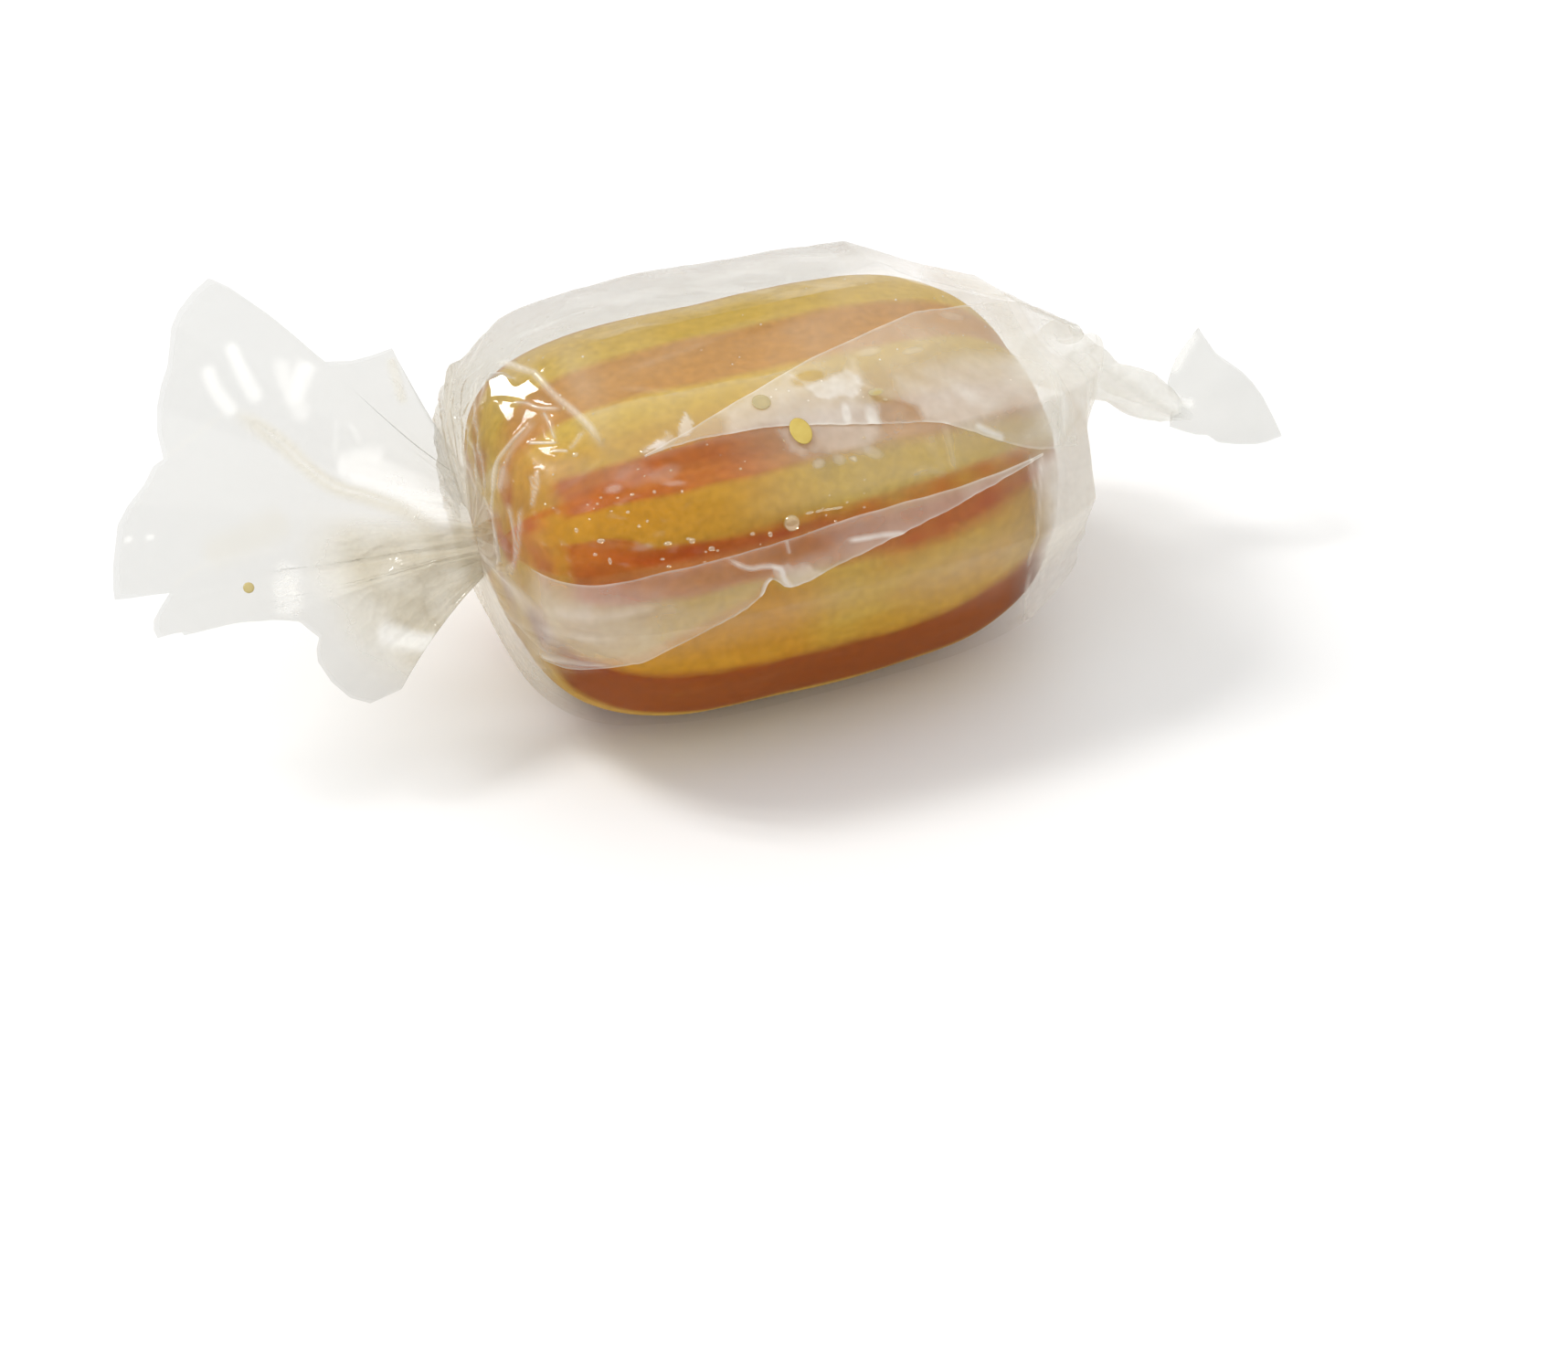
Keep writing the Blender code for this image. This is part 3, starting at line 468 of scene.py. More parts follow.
def mesh_piece(name, sheets, material, node):
    """One object from grids of points, each with its fields, riding on the one body."""
    points, faces, fields, start = [], [], {}, 0
    for grid, closed, poles, values in sheets:
        rows, columns = grid.shape[:2]
        index = start + np.arange(rows * columns).reshape(rows, columns)
        left = index if closed else index[:, :-1]
        right = np.roll(index, -1, axis=1) if closed else index[:, 1:]
        quads = np.stack([left[:-1], right[:-1], right[1:], left[1:]], -1)
        faces += quads.reshape(-1, 4).tolist()
        points.append(grid.reshape(-1, 3))
        start += rows * columns
        for key, value in values.items():
            value = np.broadcast_to(value, (rows, columns))
            fields.setdefault(key, []).append(value.ravel())
            if poles:
                fields[key].append(np.array([value[0].mean(), value[-1].mean()]))
        if poles:
            points.append(np.array([grid[0].mean(0), grid[-1].mean(0)]))
            faces += [[a, start, b] for a, b in zip(left[0].tolist(), right[0].tolist())]
            faces += [[b, start + 1, a] for a, b in zip(left[-1].tolist(), right[-1].tolist())]
            start += 2
    mesh = bpy.data.meshes.new(name)
    mesh.from_pydata(np.concatenate(points).tolist(), [], faces)
    for key, value in fields.items():
        layer = mesh.attributes.new(key, "FLOAT", "POINT")
        layer.data.foreach_set("value", np.concatenate(value).astype(np.float32))
    mesh.materials.append(material)
    mesh.shade_smooth()
    piece = new_object(name, mesh)
    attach(piece, "root")
    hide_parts(node)


# ---- materials ----

class Nodes:
    """A short way to add and join the nodes of one tree."""

    def __init__(self, tree):
        self.tree = tree
        tree.nodes.clear()

    def put(self, socket, value):
        if isinstance(value, bpy.types.NodeSocket):
            self.tree.links.new(value, socket)
        else:
            socket.default_value = (*value, 1) if socket.type == "RGBA" else value

    def add(self, kind, **inputs):
        """A node's first output: i0, i1 and so on set inputs by number, and _name a property."""
        node = self.tree.nodes.new("ShaderNode" + kind)
        for key, value in inputs.items():
            if key.startswith("_"):
                setattr(node, key[1:], value)
            elif key[0] == "i" and key[1:].isdigit():
                self.put(node.inputs[int(key[1:])], value)
            else:
                self.put(node.inputs[key.replace("_", " ")], value)
        return node.outputs[0]

    def show(self, kind, surface):
        output = self.tree.nodes.new("ShaderNodeOutput" + kind)
        self.put(output.inputs["Surface"], surface)

    def field(self, name):
        return self.add("Attribute", _attribute_name=name).node.outputs["Fac"]

    def maths(self, operation, *values, clamp=False):
        inputs = {f"i{index}": value for index, value in enumerate(values)}
        return self.add("Math", _operation=operation, _use_clamp=clamp, **inputs)

    def place(self, stretch):
        where = self.add("TexCoord").node.outputs["Object"]
        return self.add("Mapping", Vector=where, Scale=stretch)

    def texture(self, scale, detail, stretch=(1, 1, 1), roughness=0.5):
        return self.add("TexNoise", Vector=self.place(stretch), Scale=scale, Detail=detail,
                        Roughness=roughness)

    def specks(self, scale, size, share):
        """Small round dots, one in some of the cells of a scattered grid."""
        cells = self.add("TexVoronoi", Vector=self.place((1, 1, 1)), Scale=scale).node
        dot = self.ramp(cells.outputs["Distance"], 0.5 * size, size, 1, 0)
        pick = self.add("SeparateColor", Color=cells.outputs["Color"])
        return self.maths("MULTIPLY", dot, self.maths("LESS_THAN", pick, share))

    def ramp(self, value, low, high, first=0, last=1):
        return self.add("MapRange", _clamp=True, Value=value, From_Min=low, From_Max=high,
                        To_Min=first, To_Max=last)

    def mix(self, share, first, second, blend="MIX"):
        node = self.add("Mix", _data_type="RGBA", _blend_type=blend).node
        for spot, value in ((0, share), (6, first), (7, second)):
            self.put(node.inputs[spot], value)
        return node.outputs[2]

    def layer(self, share, under, over):
        return self.add("MixShader", i0=share, i1=under, i2=over)


def new_material(name):
    material = bpy.data.materials.new(name)
    material.use_nodes = True
    return material, Nodes(material.node_tree)


def sugar_material():
    """Boiled sugar: opaque golden pulled stripes and clearer red-brown ones."""
    material, nodes = new_material("striped_sugar")
    mix, ramp = nodes.mix, nodes.ramp
    tone, wet = nodes.field("tone"), nodes.field("wet")
    streak = nodes.texture(700, 4, (0.13, 1, 1), 0.62)
    cloud = nodes.texture(230, 3, (0.4, 1, 1), 0.55)
    thread = nodes.texture(520, 4, (0.11, 1, 1), 0.65)
    mottle = ramp(nodes.texture(2300, 2, roughness=0.6), 0.28, 0.72, 0.88, 1.12)
    amber = mix(ramp(streak, 0.36, 0.66, 0, 0.7), AMBER[0], AMBER[1])
    amber = mix(ramp(cloud, 0.44, 0.6, 0, 0.8), amber, AMBER[2])
    # Painted light and shade: lighter, yellower amber and lighter red where the stripes face up,
    # darker red where they face down.
    amber = mix(ramp(tone, 0.5, 1, 0, 0.75), amber, AMBER_PAINTED_LIGHT)
    red = mix(ramp(streak, 0.36, 0.66), RED[0], RED[1])
    red = mix(ramp(cloud, 0.42, 0.62, 0, 0.6), red, RED[2])
    red = mix(ramp(tone, 0.5, 1, 0, 0.9), red, RED_PAINTED_LIGHT)
    red = mix(ramp(tone, 0, 0.5, 0.9, 0), red, RED_PAINTED_SHADE)
    brown = nodes.maths("SUBTRACT", thread, 0.5)
    brown = ramp(nodes.maths("MULTIPLY_ADD", brown, 0.9, nodes.field("brown")), 0.15, 0.85)
    colour = mix(wet, mix(brown, amber, red), WET_TINT, "MULTIPLY")
    # Wet lines, and painted shade in the valley under the rib, deepen the colour.
    colour = mix(nodes.field("deep"), colour, WET_LINE_AND_SHADE_TINT, "MULTIPLY")
    shade = nodes.add("CombineColor", i0=mottle, i1=mottle, i2=mottle)
    bump = nodes.add("Bump", Strength=0.35, Distance=0.06 * MM, Height=mottle)
    nodes.show("Material", nodes.add(
        "BsdfPrincipled", Base_Color=mix(1, colour, shade, "MULTIPLY"),
        Roughness=ramp(wet, 0, 1, 0.45, 0.18), IOR=1.13, Normal=bump))
    return material


def bead_material():
    """Drops of yellow sugar syrup, and clear ones that only glint."""
    material, nodes = new_material("sugar_syrup")
    solid = nodes.field("solid")
    colour = nodes.mix(nodes.ramp(nodes.texture(1500, 2), 0.35, 0.65), *SYRUP_COLOURS)
    body = nodes.add("BsdfDiffuse", Color=nodes.mix(nodes.field("pale"), colour, PALE_SYRUP))
    body = nodes.layer(solid, nodes.add("BsdfTransparent", Color=SYRUP_TINT), body)
    gloss = nodes.add("BsdfGlossy", Color=SYRUP_GLOSS, Roughness=0.12)
    nodes.show("Material", nodes.layer(nodes.ramp(solid, 0, 1, 0.22, 0.02), body, gloss))
    return material


def film_material():
    """Clear film: it lets light through, shines on both faces and is milky where it is loose."""
    material, nodes = new_material("clear_film")
    warm = nodes.field("warm")
    mottle = nodes.ramp(nodes.texture(900, 2, roughness=0.6), 0.3, 0.7, 0.88, 1.12)
    dots = nodes.maths("MULTIPLY", nodes.specks(1900, 0.13, 0.3), nodes.field("bubbles"))
    haze = nodes.maths("MULTIPLY_ADD", nodes.field("haze"), mottle, dots, clamp=True)
    bump = nodes.add("Bump", Strength=0.5, Distance=0.05 * MM,
                     Height=nodes.texture(420, 1, roughness=0.4))
    # Painted shade: the milk and the tint turn darker and warmer where the film gathers and folds.
    milk = nodes.mix(warm, MILK, PAINTED_SHADE_MILK)
    tint = nodes.mix(warm, nodes.mix(nodes.field("grey"), CLEAR_TINT, GREY_TINT), PAINTED_SHADE_TINT)
    milk = nodes.layer(0.36, nodes.add("BsdfDiffuse", Color=milk),
                       nodes.add("BsdfTranslucent", Color=milk))
    body = nodes.layer(haze, nodes.add("BsdfTransparent", Color=tint), milk)
    facing = nodes.add("LayerWeight", Blend=0.5, Normal=bump).node.outputs["Facing"]
    mirror = nodes.maths("MULTIPLY_ADD", nodes.maths("POWER", facing, 5), 0.42, 0.03)
    shine = nodes.maths("MULTIPLY", mirror, nodes.field("shine"), clamp=True)
    sharp, broad = (nodes.add("BsdfGlossy", Color=WHITE, Roughness=rough, Normal=bump)
                    for rough in (0.06, 0.3))
    nodes.show("Material", nodes.layer(shine, body, nodes.layer(0.12, sharp, broad)))
    return material


def floor_material():
    material, nodes = new_material("pale_floor")
    nodes.show("Material", nodes.add("BsdfDiffuse", Color=FLOOR_GREY))
    return material


SUGAR = sugar_material()
SYRUP = bead_material()
FILM = film_material()


# ---- the sweet ----

def sweet_section(angle):
    """Distance from the axis to the sugar's middle section."""
    across = np.abs(np.cos(angle) / SWEET_HALF_WIDTH) ** SWEET_SECTION_POWER
    up = np.abs(np.sin(angle) / SWEET_HALF_HEIGHT) ** SWEET_SECTION_POWER
    return (across + up) ** (-1 / SWEET_SECTION_POWER)


def sweet_radius(place, angle):
    """Distance from the axis to the smooth sugar at a place along X; 0 past its ends."""
    power = np.where(place < 0, SWEET_LEFT_POWER, SWEET_RIGHT_POWER)
    share = np.clip(np.abs(place) / SWEET_HALF_LENGTH, 0, 1)
    girth = (1 - share ** power) ** (1 / power)
    bend = SWEET_BEND * np.where(place < 0, share, 0) ** 2
    return girth * sweet_section(angle) + bend * np.cos(angle - LOOSE_SIDE)


def stripes(points, angle, girth):
    """Brown share, the place across the stripe and the stripe's number."""
    x, degrees = points[..., 0] / MM, np.degrees(angle)
    wander = 1.9 * noise(points * (0.35, 1, 1), 4 * MM, 3)
    wander = wander + 0.7 * noise(points * (0.5, 1, 1), 1.1 * MM, 4)
    wander = wander + 26 * (1 - girth) ** 2 * noise(points, 3 * MM, 8)
    slant = 5 * rise(x, 3, 9) * rise(degrees, 168, 12)
    climb = 5 * bell(degrees, 161, 8) * rise(x, 4, 7)
    climb = climb + 6.5 * bell(degrees, 148, 6) * fall(x, -8, 3)
    edges = np.array(STRIPE_EDGES + (STRIPE_EDGES[0] + 360,))
    turned = (degrees + wander + slant + climb - edges[0]) % 360 + edges[0]
    stripe = np.clip(np.searchsorted(edges, turned, side="right") - 1, 0, len(edges) - 2)
    lower, upper = turned - edges[stripe], edges[stripe + 1] - turned
    sign = np.where(stripe % 2 == 0, 1, -1)
    crisp = span(degrees, 118, 6, 176, 8) * fall(x, 4, 8)
    blur = (7.5 - 4 * crisp) * (1 + 2 * (1 - girth))
    brown = ease(0.5 + sign * np.minimum(lower, upper) / blur)
    for amount, limits in PALE_BROWN:
        brown = brown * (1 - amount * window(x, degrees, limits))
    left = ease(-x)
    pole = ease((0.62 + 0.26 * left - girth) / 0.42)
    mixed = 0.42 + 0.9 * noise(points, 2.2 * MM, 12) - 0.2 * left * rise(degrees, 110, 15)
    return brown + (ease(mixed) - brown) * pole, lower / (lower + upper), stripe


def make_sweet():
    """The pillow of sugar: soft ribs, and stripes whose edges waver as pulled sugar does."""
    powers = SWEET_LEFT_POWER, SWEET_RIGHT_POWER
    turn = even_turns(SWEET_ROWS, *powers, SWEET_HALF_LENGTH, SWEET_HALF_HEIGHT, 1)[1:-1]
    angle = np.arange(SWEET_COLUMNS) * (TURN / SWEET_COLUMNS)
    turn, angle = np.meshgrid(turn, angle, indexing="ij")
    along, girth = end_profile(turn, np.where(turn < 0, *powers))
    place = along * SWEET_HALF_LENGTH
    x, degrees = place / MM, np.degrees(angle)
    rough = ring_points(place, girth * sweet_section(angle), angle)
    brown, across, stripe = stripes(rough, angle, girth)
    below_top = (degrees - read_line(x, LENS_TOP)) * SUGAR_DEGREE
    below_rib = (degrees - read_line(x, RIB_LOW)) * SUGAR_DEGREE
    above_flap = (read_line(x, FLAP_TOP) - degrees) * SUGAR_DEGREE
    below_flap = (degrees - read_line(x, FLAP_LOW)) * SUGAR_DEGREE

    dip = np.where(stripe % 2 == 0, BROWN_DIP, AMBER_DIP) * np.sin(math.pi * across)
    dip = dip + 0.3 * MM * bell(below_rib, 0, 0.42) * fall(np.abs(x), 11, 3)
    dip = dip - 0.07 * MM * noise(rough, 4.5 * MM, 5)
    dip = dip - 0.02 * MM * noise(rough * (0.3, 1, 1), 0.9 * MM, 6)
    bend = SWEET_BEND * np.minimum(along, 0) ** 2
    grid = ring_points(place, girth * (sweet_section(angle) - dip), angle,
                       bend * math.cos(LOOSE_SIDE), bend * math.sin(LOOSE_SIDE) + CENTRE_HEIGHT)

    lens = ease(below_top / 0.35 + 0.5) * ease(above_flap / 0.35 + 0.5) * fall(x, 1, 10)
    low = ease(below_flap / 0.5) * fall(degrees, 197, 8) * fall(x, 0.5, 4)
    shoulder = 0.5 * window(x, degrees, WET_SHOULDER)
    # Deeper orange: a wet line under the lens top, a spot at the left end, painted shade in the
    # valley under the rib, and a strip below the flap.
    top_strip = bell(below_top, 0.32, 0.26) * fall(x, -6.8, 2.5)
    spot = bell(x, -13.1, 0.5) * bell(degrees * SUGAR_DEGREE, 136 * SUGAR_DEGREE, 0.6)
    rib_valley_shade = ease(1.35 - np.abs(below_rib - 0.05) / 0.4) * span(x, -12.5, 4, 11.5, 2)
    under_flap = bell(below_flap, 4.5 * SUGAR_DEGREE, 0.8) * span(x, 0.5, 3, 9.4, 1.8)
    deep = np.clip(np.maximum(top_strip, spot) + rib_valley_shade + 0.7 * under_flap, 0, 1)
    deep = deep * (0.75 + 0.35 * noise(rough, 1.2 * MM, 9))
    # Painted light and shade: stripes facing up and the lens are lighter, stripes facing down
    # darker; behind, out of view, the tone differs at random.
    tone = 0.5 + 0.5 * fall(degrees, 120, 16) - 0.5 * rise(degrees, 176, 16)
    tone = tone + 0.5 * rise(x, -5, 6) * span(degrees, 118, 6, 156, 6)
    behind = rise(degrees, 255, 30)
    tone = tone + (0.55 - tone + 0.35 * noise(rough, 7 * MM, 10)) * behind
    values = {"brown": brown * (1 - 0.65 * top_strip),
              "wet": np.maximum(np.maximum(lens, low), shoulder),
              "deep": np.clip(deep, 0, 1), "tone": np.clip(tone, 0, 1)}
    mesh_piece("sugar_pillow", [(grid, True, True, values)], SUGAR, "sweet")


# ---- the film round the sweet ----

def sweet_support(angle):
    """How far the sugar reaches in a direction across its axis."""
    dual = SWEET_SECTION_POWER / (SWEET_SECTION_POWER - 1)
    across = abs(SWEET_HALF_WIDTH * math.cos(angle)) ** dual
    up = abs(SWEET_HALF_HEIGHT * math.sin(angle)) ** dual
    return (across + up) ** (1 / dual)


def film_section(angle):
    """The film's middle section: flat facets between shallow corners."""
    reach = np.full(np.shape(angle), 1)
    for direction, stand_off in FACETS:
        facing = np.cos(angle - math.radians(direction))
        support = sweet_support(math.radians(direction)) + stand_off * MM
        flat = np.where(facing > FACET_VIEW, support / np.maximum(facing, 0.01), 1)
        reach = np.minimum(reach, flat)
    return reach


def film_reach(side, angle):
    """How far the film's end reaches along X on that side."""
    skirt = ease((np.cos(angle - SKIRT_SIDE) - SKIRT_START) / SKIRT_EASE)
    return FILM_REACH + np.where(side < 0, 0, SKIRT_REACH) * skirt


def film_turn(place, reach=FILM_REACH):
    """The turn along the film's profile at a place along X."""
    share = np.clip(np.abs(place) / reach, 0, 0.999)
    return np.sign(place) * np.arcsin(share ** (0.5 * FILM_POWER))


def film_form(turn, angle):
    """Place along X, distance from the film's own axis, and that axis' shift, without folds."""
    along, girth = end_profile(turn, FILM_POWER)
    left = turn < 0
    reach = film_reach(turn, angle)
    shift = ease((1 - girth) / NECK_EASE)
    place = along * (reach + (np.where(left, FILM_LEFT_NECK, FILM_RIGHT_NECK) - reach) * shift)
    facing = np.cos(angle - LOOSE_SIDE)
    share = girth * (1 - LOOSE_SLOPE * place * np.maximum(0, facing))
    cut = share
    for start, height, slope in TAUT_LINES:
        cut = np.minimum(cut, height + slope * (place - start * MM))
    cut = np.maximum(cut, TAUT_LEAST * girth)
    share = share + (cut - share) * rise(facing, TAUT_START, TAUT_EASE)
    neck_y = np.where(left, LEFT_NECK[1], RIGHT_NECK[1]) * shift
    neck_z = (np.where(left, LEFT_NECK[2], RIGHT_NECK[2]) - CENTRE_HEIGHT) * shift
    return place, share * film_section(angle), neck_y, neck_z, girth


def film_spots(turn, angle):
    """Points of the film's form, measured from the sweet's own axis."""
    place, radius, neck_y, neck_z, _ = film_form(turn, angle)
    return ring_points(place, radius, angle, neck_y, neck_z)


def crease_lines(spots, creases):
    """Height and milkiness of named creases at points of the film's form."""
    height = np.zeros(spots.shape[:-1])
    milk = np.zeros(spots.shape[:-1])
    for up, width, haze, line in creases:
        turns, angles = np.radians(cut_corners(line)).T
        shape = line_shape(spots, film_spots(turns, angles), 2 * width * MM)
        height = np.maximum(height, up * MM * ease(shape))
        milk = np.maximum(milk, haze * shape ** 1.5)
    return height, milk


def outline_depth(x, y, corners):
    """How far points lie within a closed outline, below 0 outside it."""
    within = np.zeros(x.shape, bool)
    near = np.full(x.shape, 9)
    for (x0, y0), (x1, y1) in zip(corners, np.roll(corners, -1, axis=0)):
        run, up = x1 - x0, y1 - y0
        share = np.clip(((x - x0) * run + (y - y0) * up) / (run * run + up * up), 0, 1)
        near = np.minimum(near, np.hypot(x - x0 - share * run, y - y0 - share * up))
        if up:
            within ^= ((y0 > y) != (y1 > y)) & (x < x0 + (y - y0) * run / up)
    return np.where(within, near, -near)


def milky_places(place, angle, soft, outlined):
    """Milkiness added by soft patches and by areas with a clear edge."""
    x, y = place / MM, np.degrees(angle) * FILM_DEGREE
    total = np.zeros(place.shape)
    for middle, degrees, half_length, half_width, lean, amount in soft:
        along, across = x - middle, y - degrees * FILM_DEGREE
        lean = math.radians(lean)
        u = (along * math.cos(lean) + across * math.sin(lean)) / half_length
        v = (across * math.cos(lean) - along * math.sin(lean)) / half_width
        total += amount * ease(1.6 - np.hypot(u, v) * 1.15)
    spots = np.stack([x, y, 0 * x], -1)
    x = x + 0.16 * noise(spots, 0.7, 61) + 0.06 * noise(spots, 0.25, 62)
    y = y + 0.16 * noise(spots, 0.7, 63) + 0.06 * noise(spots, 0.25, 64)
    cloud = 1 + 0.2 * noise(spots, 0.9, 65) + 0.1 * noise(spots, 0.3, 66)
    for amount, edge, corners in outlined:
        corners = np.array(corners, float) * (1, FILM_DEGREE)
        total += cloud * amount * ease(0.5 + outline_depth(x, y, corners) / edge)
    return total


def pleats(angle, girth, side, count, seed, swirl, tallest, widest):
    """Height and sharpness of the pleats that wind from one neck out over the shoulder."""
    picks = np.random.default_rng(seed)
    height = np.zeros(angle.shape)
    crest = np.zeros(angle.shape)
    for index in range(count):
        middle = TURN * (index + picks.uniform(-0.4, 0.4)) / count
        width = math.radians(picks.uniform(0.35, 1) * widest)
        winding = swirl + picks.uniform(-0.25, 0.25)
        clear_side = math.cos(middle - math.radians(122)) > 0.68
        last_girth = picks.uniform(*((0.42, 0.6) if clear_side else (0.7, 1.02)))
        size = picks.uniform(0.3, 1) * tallest
        centre = middle + winding * (1 - girth) + 0.06 * np.sin(11 * girth + 2 * index)
        shape = np.clip(1 - np.abs(around(angle, centre)) / width, 0, 1)
        fade = fall(girth, last_girth, 0.2) * side
        height = np.maximum(height, size * shape * fade)
        crest = np.maximum(crest, shape ** 3 * fade * size / tallest)
    return height, crest


def body_creases(place, angle, seed, count):
    """Height and sharpness of short straight creases over the body of the film."""
    picks = np.random.default_rng(seed)
    height = np.zeros(place.shape)
    crest = np.zeros(place.shape)
    for _ in range(count):
        x = picks.uniform(-13, 12.5) * MM
        turn = picks.uniform(0, TURN)
        lean = picks.normal(0, 0.45)
        half = picks.uniform(1.2, 4.5) * MM
        width = picks.uniform(0.3, 0.8) * MM
        size = picks.uniform(-0.05, 0.07) * MM
        across = around(angle, turn) * 9.5 * MM
        down = np.abs((place - x) * math.cos(lean) + across * math.sin(lean))
        off = np.abs(across * math.cos(lean) - (place - x) * math.sin(lean))
        fade = fall(down, half, 0.6 * half)
        height += size * np.clip(1 - off / (2 * width), 0, 1) * fade
        crest = np.maximum(crest, np.clip(1 - off / (0.5 * width), 0, 1) * fade)
    return height, crest


def flatten_facet(grid, place, angle):
    """Draw the film near the bright facet onto the facet's plane; also its share there."""
    x, degrees = FACET_MIDDLE
    middle = film_spots(film_turn(x * MM), np.radians(degrees)) + (0, 0, CENTRE_HEIGHT)
    corners = np.array(FACET_OUTLINE, float) * (1, FILM_DEGREE)
    depth = outline_depth(place / MM, np.degrees(angle) * FILM_DEGREE, corners)
    share = ease(0.5 + depth / 0.35)
    outward = ring_points(0 * angle, 1, angle)
    away = (middle - grid) @ FACET_FACING + 0.16 * MM
    away = away / np.maximum(outward @ FACET_FACING, 0.3)
    return grid + (share * np.clip(away, -0.14 * MM, 0.6 * MM))[..., None] * outward, share


def film_grid(turn, angle, lift=0, creases=()):
    """Points of the film with its folds and creases, its milkiness and its looseness."""
    place, radius, neck_y, neck_z, girth = film_form(turn, angle)
    rough = ring_points(place, radius, angle)
    x, degrees = place / MM, np.degrees(angle)
    loose = ease((np.cos(angle - LOOSE_SIDE) + 0.25) / 0.9)
    left_side, right_side = ease(-turn * 4), ease(turn * 4)

    # The film's height over its form: pleats at both ends, creases, waves and a tuck.
    folds, fold_crest = pleats(angle, girth, left_side, 58, 11, 1.15, 0.2 * MM, 4.6)
    more, more_crest = pleats(angle, girth, right_side, 40, 12, 0.45, 0.22 * MM, 5)
    few, few_crest = body_creases(place, angle, 21, 44)
    named, named_milk = crease_lines(film_spots(turn, angle), CREASES + tuple(creases))
    size = np.minimum(1, radius / (4 * MM))
    underneath = ease((np.cos(angle - math.radians(270)) - 0.1) / 0.5)
    pleated = (folds * (1 - 0.7 * underneath) + more) * size
    wave = 0.09 * noise(rough, 3.2 * MM, 31) * (0.35 + loose)
    wave = wave + 0.03 * ridges(rough, 2.4 * MM, 32) * loose
    top = ease((np.cos(angle - math.radians(75)) - 0.1) / 0.7)
    tuck = fall(girth, 0.72, 0.4) * right_side * top
    radius = radius * (1 - 0.24 * tuck) + pleated - 0.1 * MM * fall(girth, 0.7, 0.35) * size
    radius = radius + few * (0.3 + 0.7 * loose) + wave * MM
    least = sweet_radius(place, angle) + 0.08 * MM
    inside = np.abs(place) < SWEET_HALF_LENGTH
    radius = np.where(inside, np.maximum(radius, least), radius)
    gap = np.where(inside, radius - least, 3 * MM) / MM
    radius = radius + lift + named * size
    narrow = span(degrees, 128, 26, 250, 30) * rise(girth, 0.15, 0.35)
    narrow = narrow * (0.42 + 0.34 * rise(degrees, 140, 12))
    place = place - np.maximum(place - 13.2 * MM, 0) * narrow
    push = np.sign(turn) * (pleated + named + lift) * fall(girth, 0.97, 0.3)
    grid = ring_points(place + push, radius, angle, neck_y, CENTRE_HEIGHT + neck_z)
    grid[..., 2] = np.maximum(grid[..., 2], 0.02 * MM)
    grid, bright = flatten_facet(grid, place, angle)
    named_milk = named_milk * (1 - bright)

    # Its milkiness: more where it stands off the sugar, in veils, along creases and in bands.
    in_lens = rise(degrees, read_line(x, LENS_TOP), 3) * fall(x, 4, 7)
    in_lens = in_lens * fall(degrees, read_line(x, FLAP_TOP), 3)
    shoulder = window(x, degrees, FILM_SHOULDER) * rise(girth, 0.35, 0.2)
    low = span(degrees, *FILM_LOW)
    stand_off = 0.16 * rise(gap, 0.15, 1.1) * (1 - 0.7 * window(x, degrees, FILM_UPPER_LEFT))
    stand_off = stand_off + 0.25 * fall(girth, 0.62, 0.35) * left_side
    taut = np.maximum(np.maximum(in_lens, shoulder), low)
    haze = 0.012 - 0.009 * low + stand_off * (1 - 0.9 * taut)
    behind = ease((0.1 - np.cos(angle - math.radians(120))) / 0.6)
    start = 10.7 + behind * (0.9 * noise(rough, 2.6 * MM, 36) - 0.6)
    haze = haze + 0.42 * span(x, start, 1.2 + 2.2 * behind, 14.2, 1.2) * (1 - 0.3 * behind)
    for amount, limits in VEILS:
        haze = haze + amount * window(x, degrees, limits)
    below = (degrees - read_line(x, MILKY_LINE)) * FILM_DEGREE
    band = ease(below / 0.08) * np.exp(-np.maximum(below, 0) / 0.85)
    haze = haze + 0.17 * band * span(x, -10.6, 1.2, 2.5, 3)
    haze = haze * (0.9 + 0.2 * noise(rough, 2.2 * MM, 33))
    haze = np.maximum(haze + milky_places(place, angle, COVER_PATCHES, COVER_AREAS), 0)
    crest = np.maximum(fold_crest, 0.3 * more_crest) * fall(girth, 1.02, 0.2)
    haze = haze + 0.22 * crest * (1 - 0.7 * shoulder) + 0.08 * few_crest * loose + named_milk
    blobs = ease((noise(rough * (0.6, 1, 1), 0.42 * MM, 34) - 0.46) / 0.16)
    haze = haze + 0.08 * blobs * in_lens * fall(x, -5.5, 3)

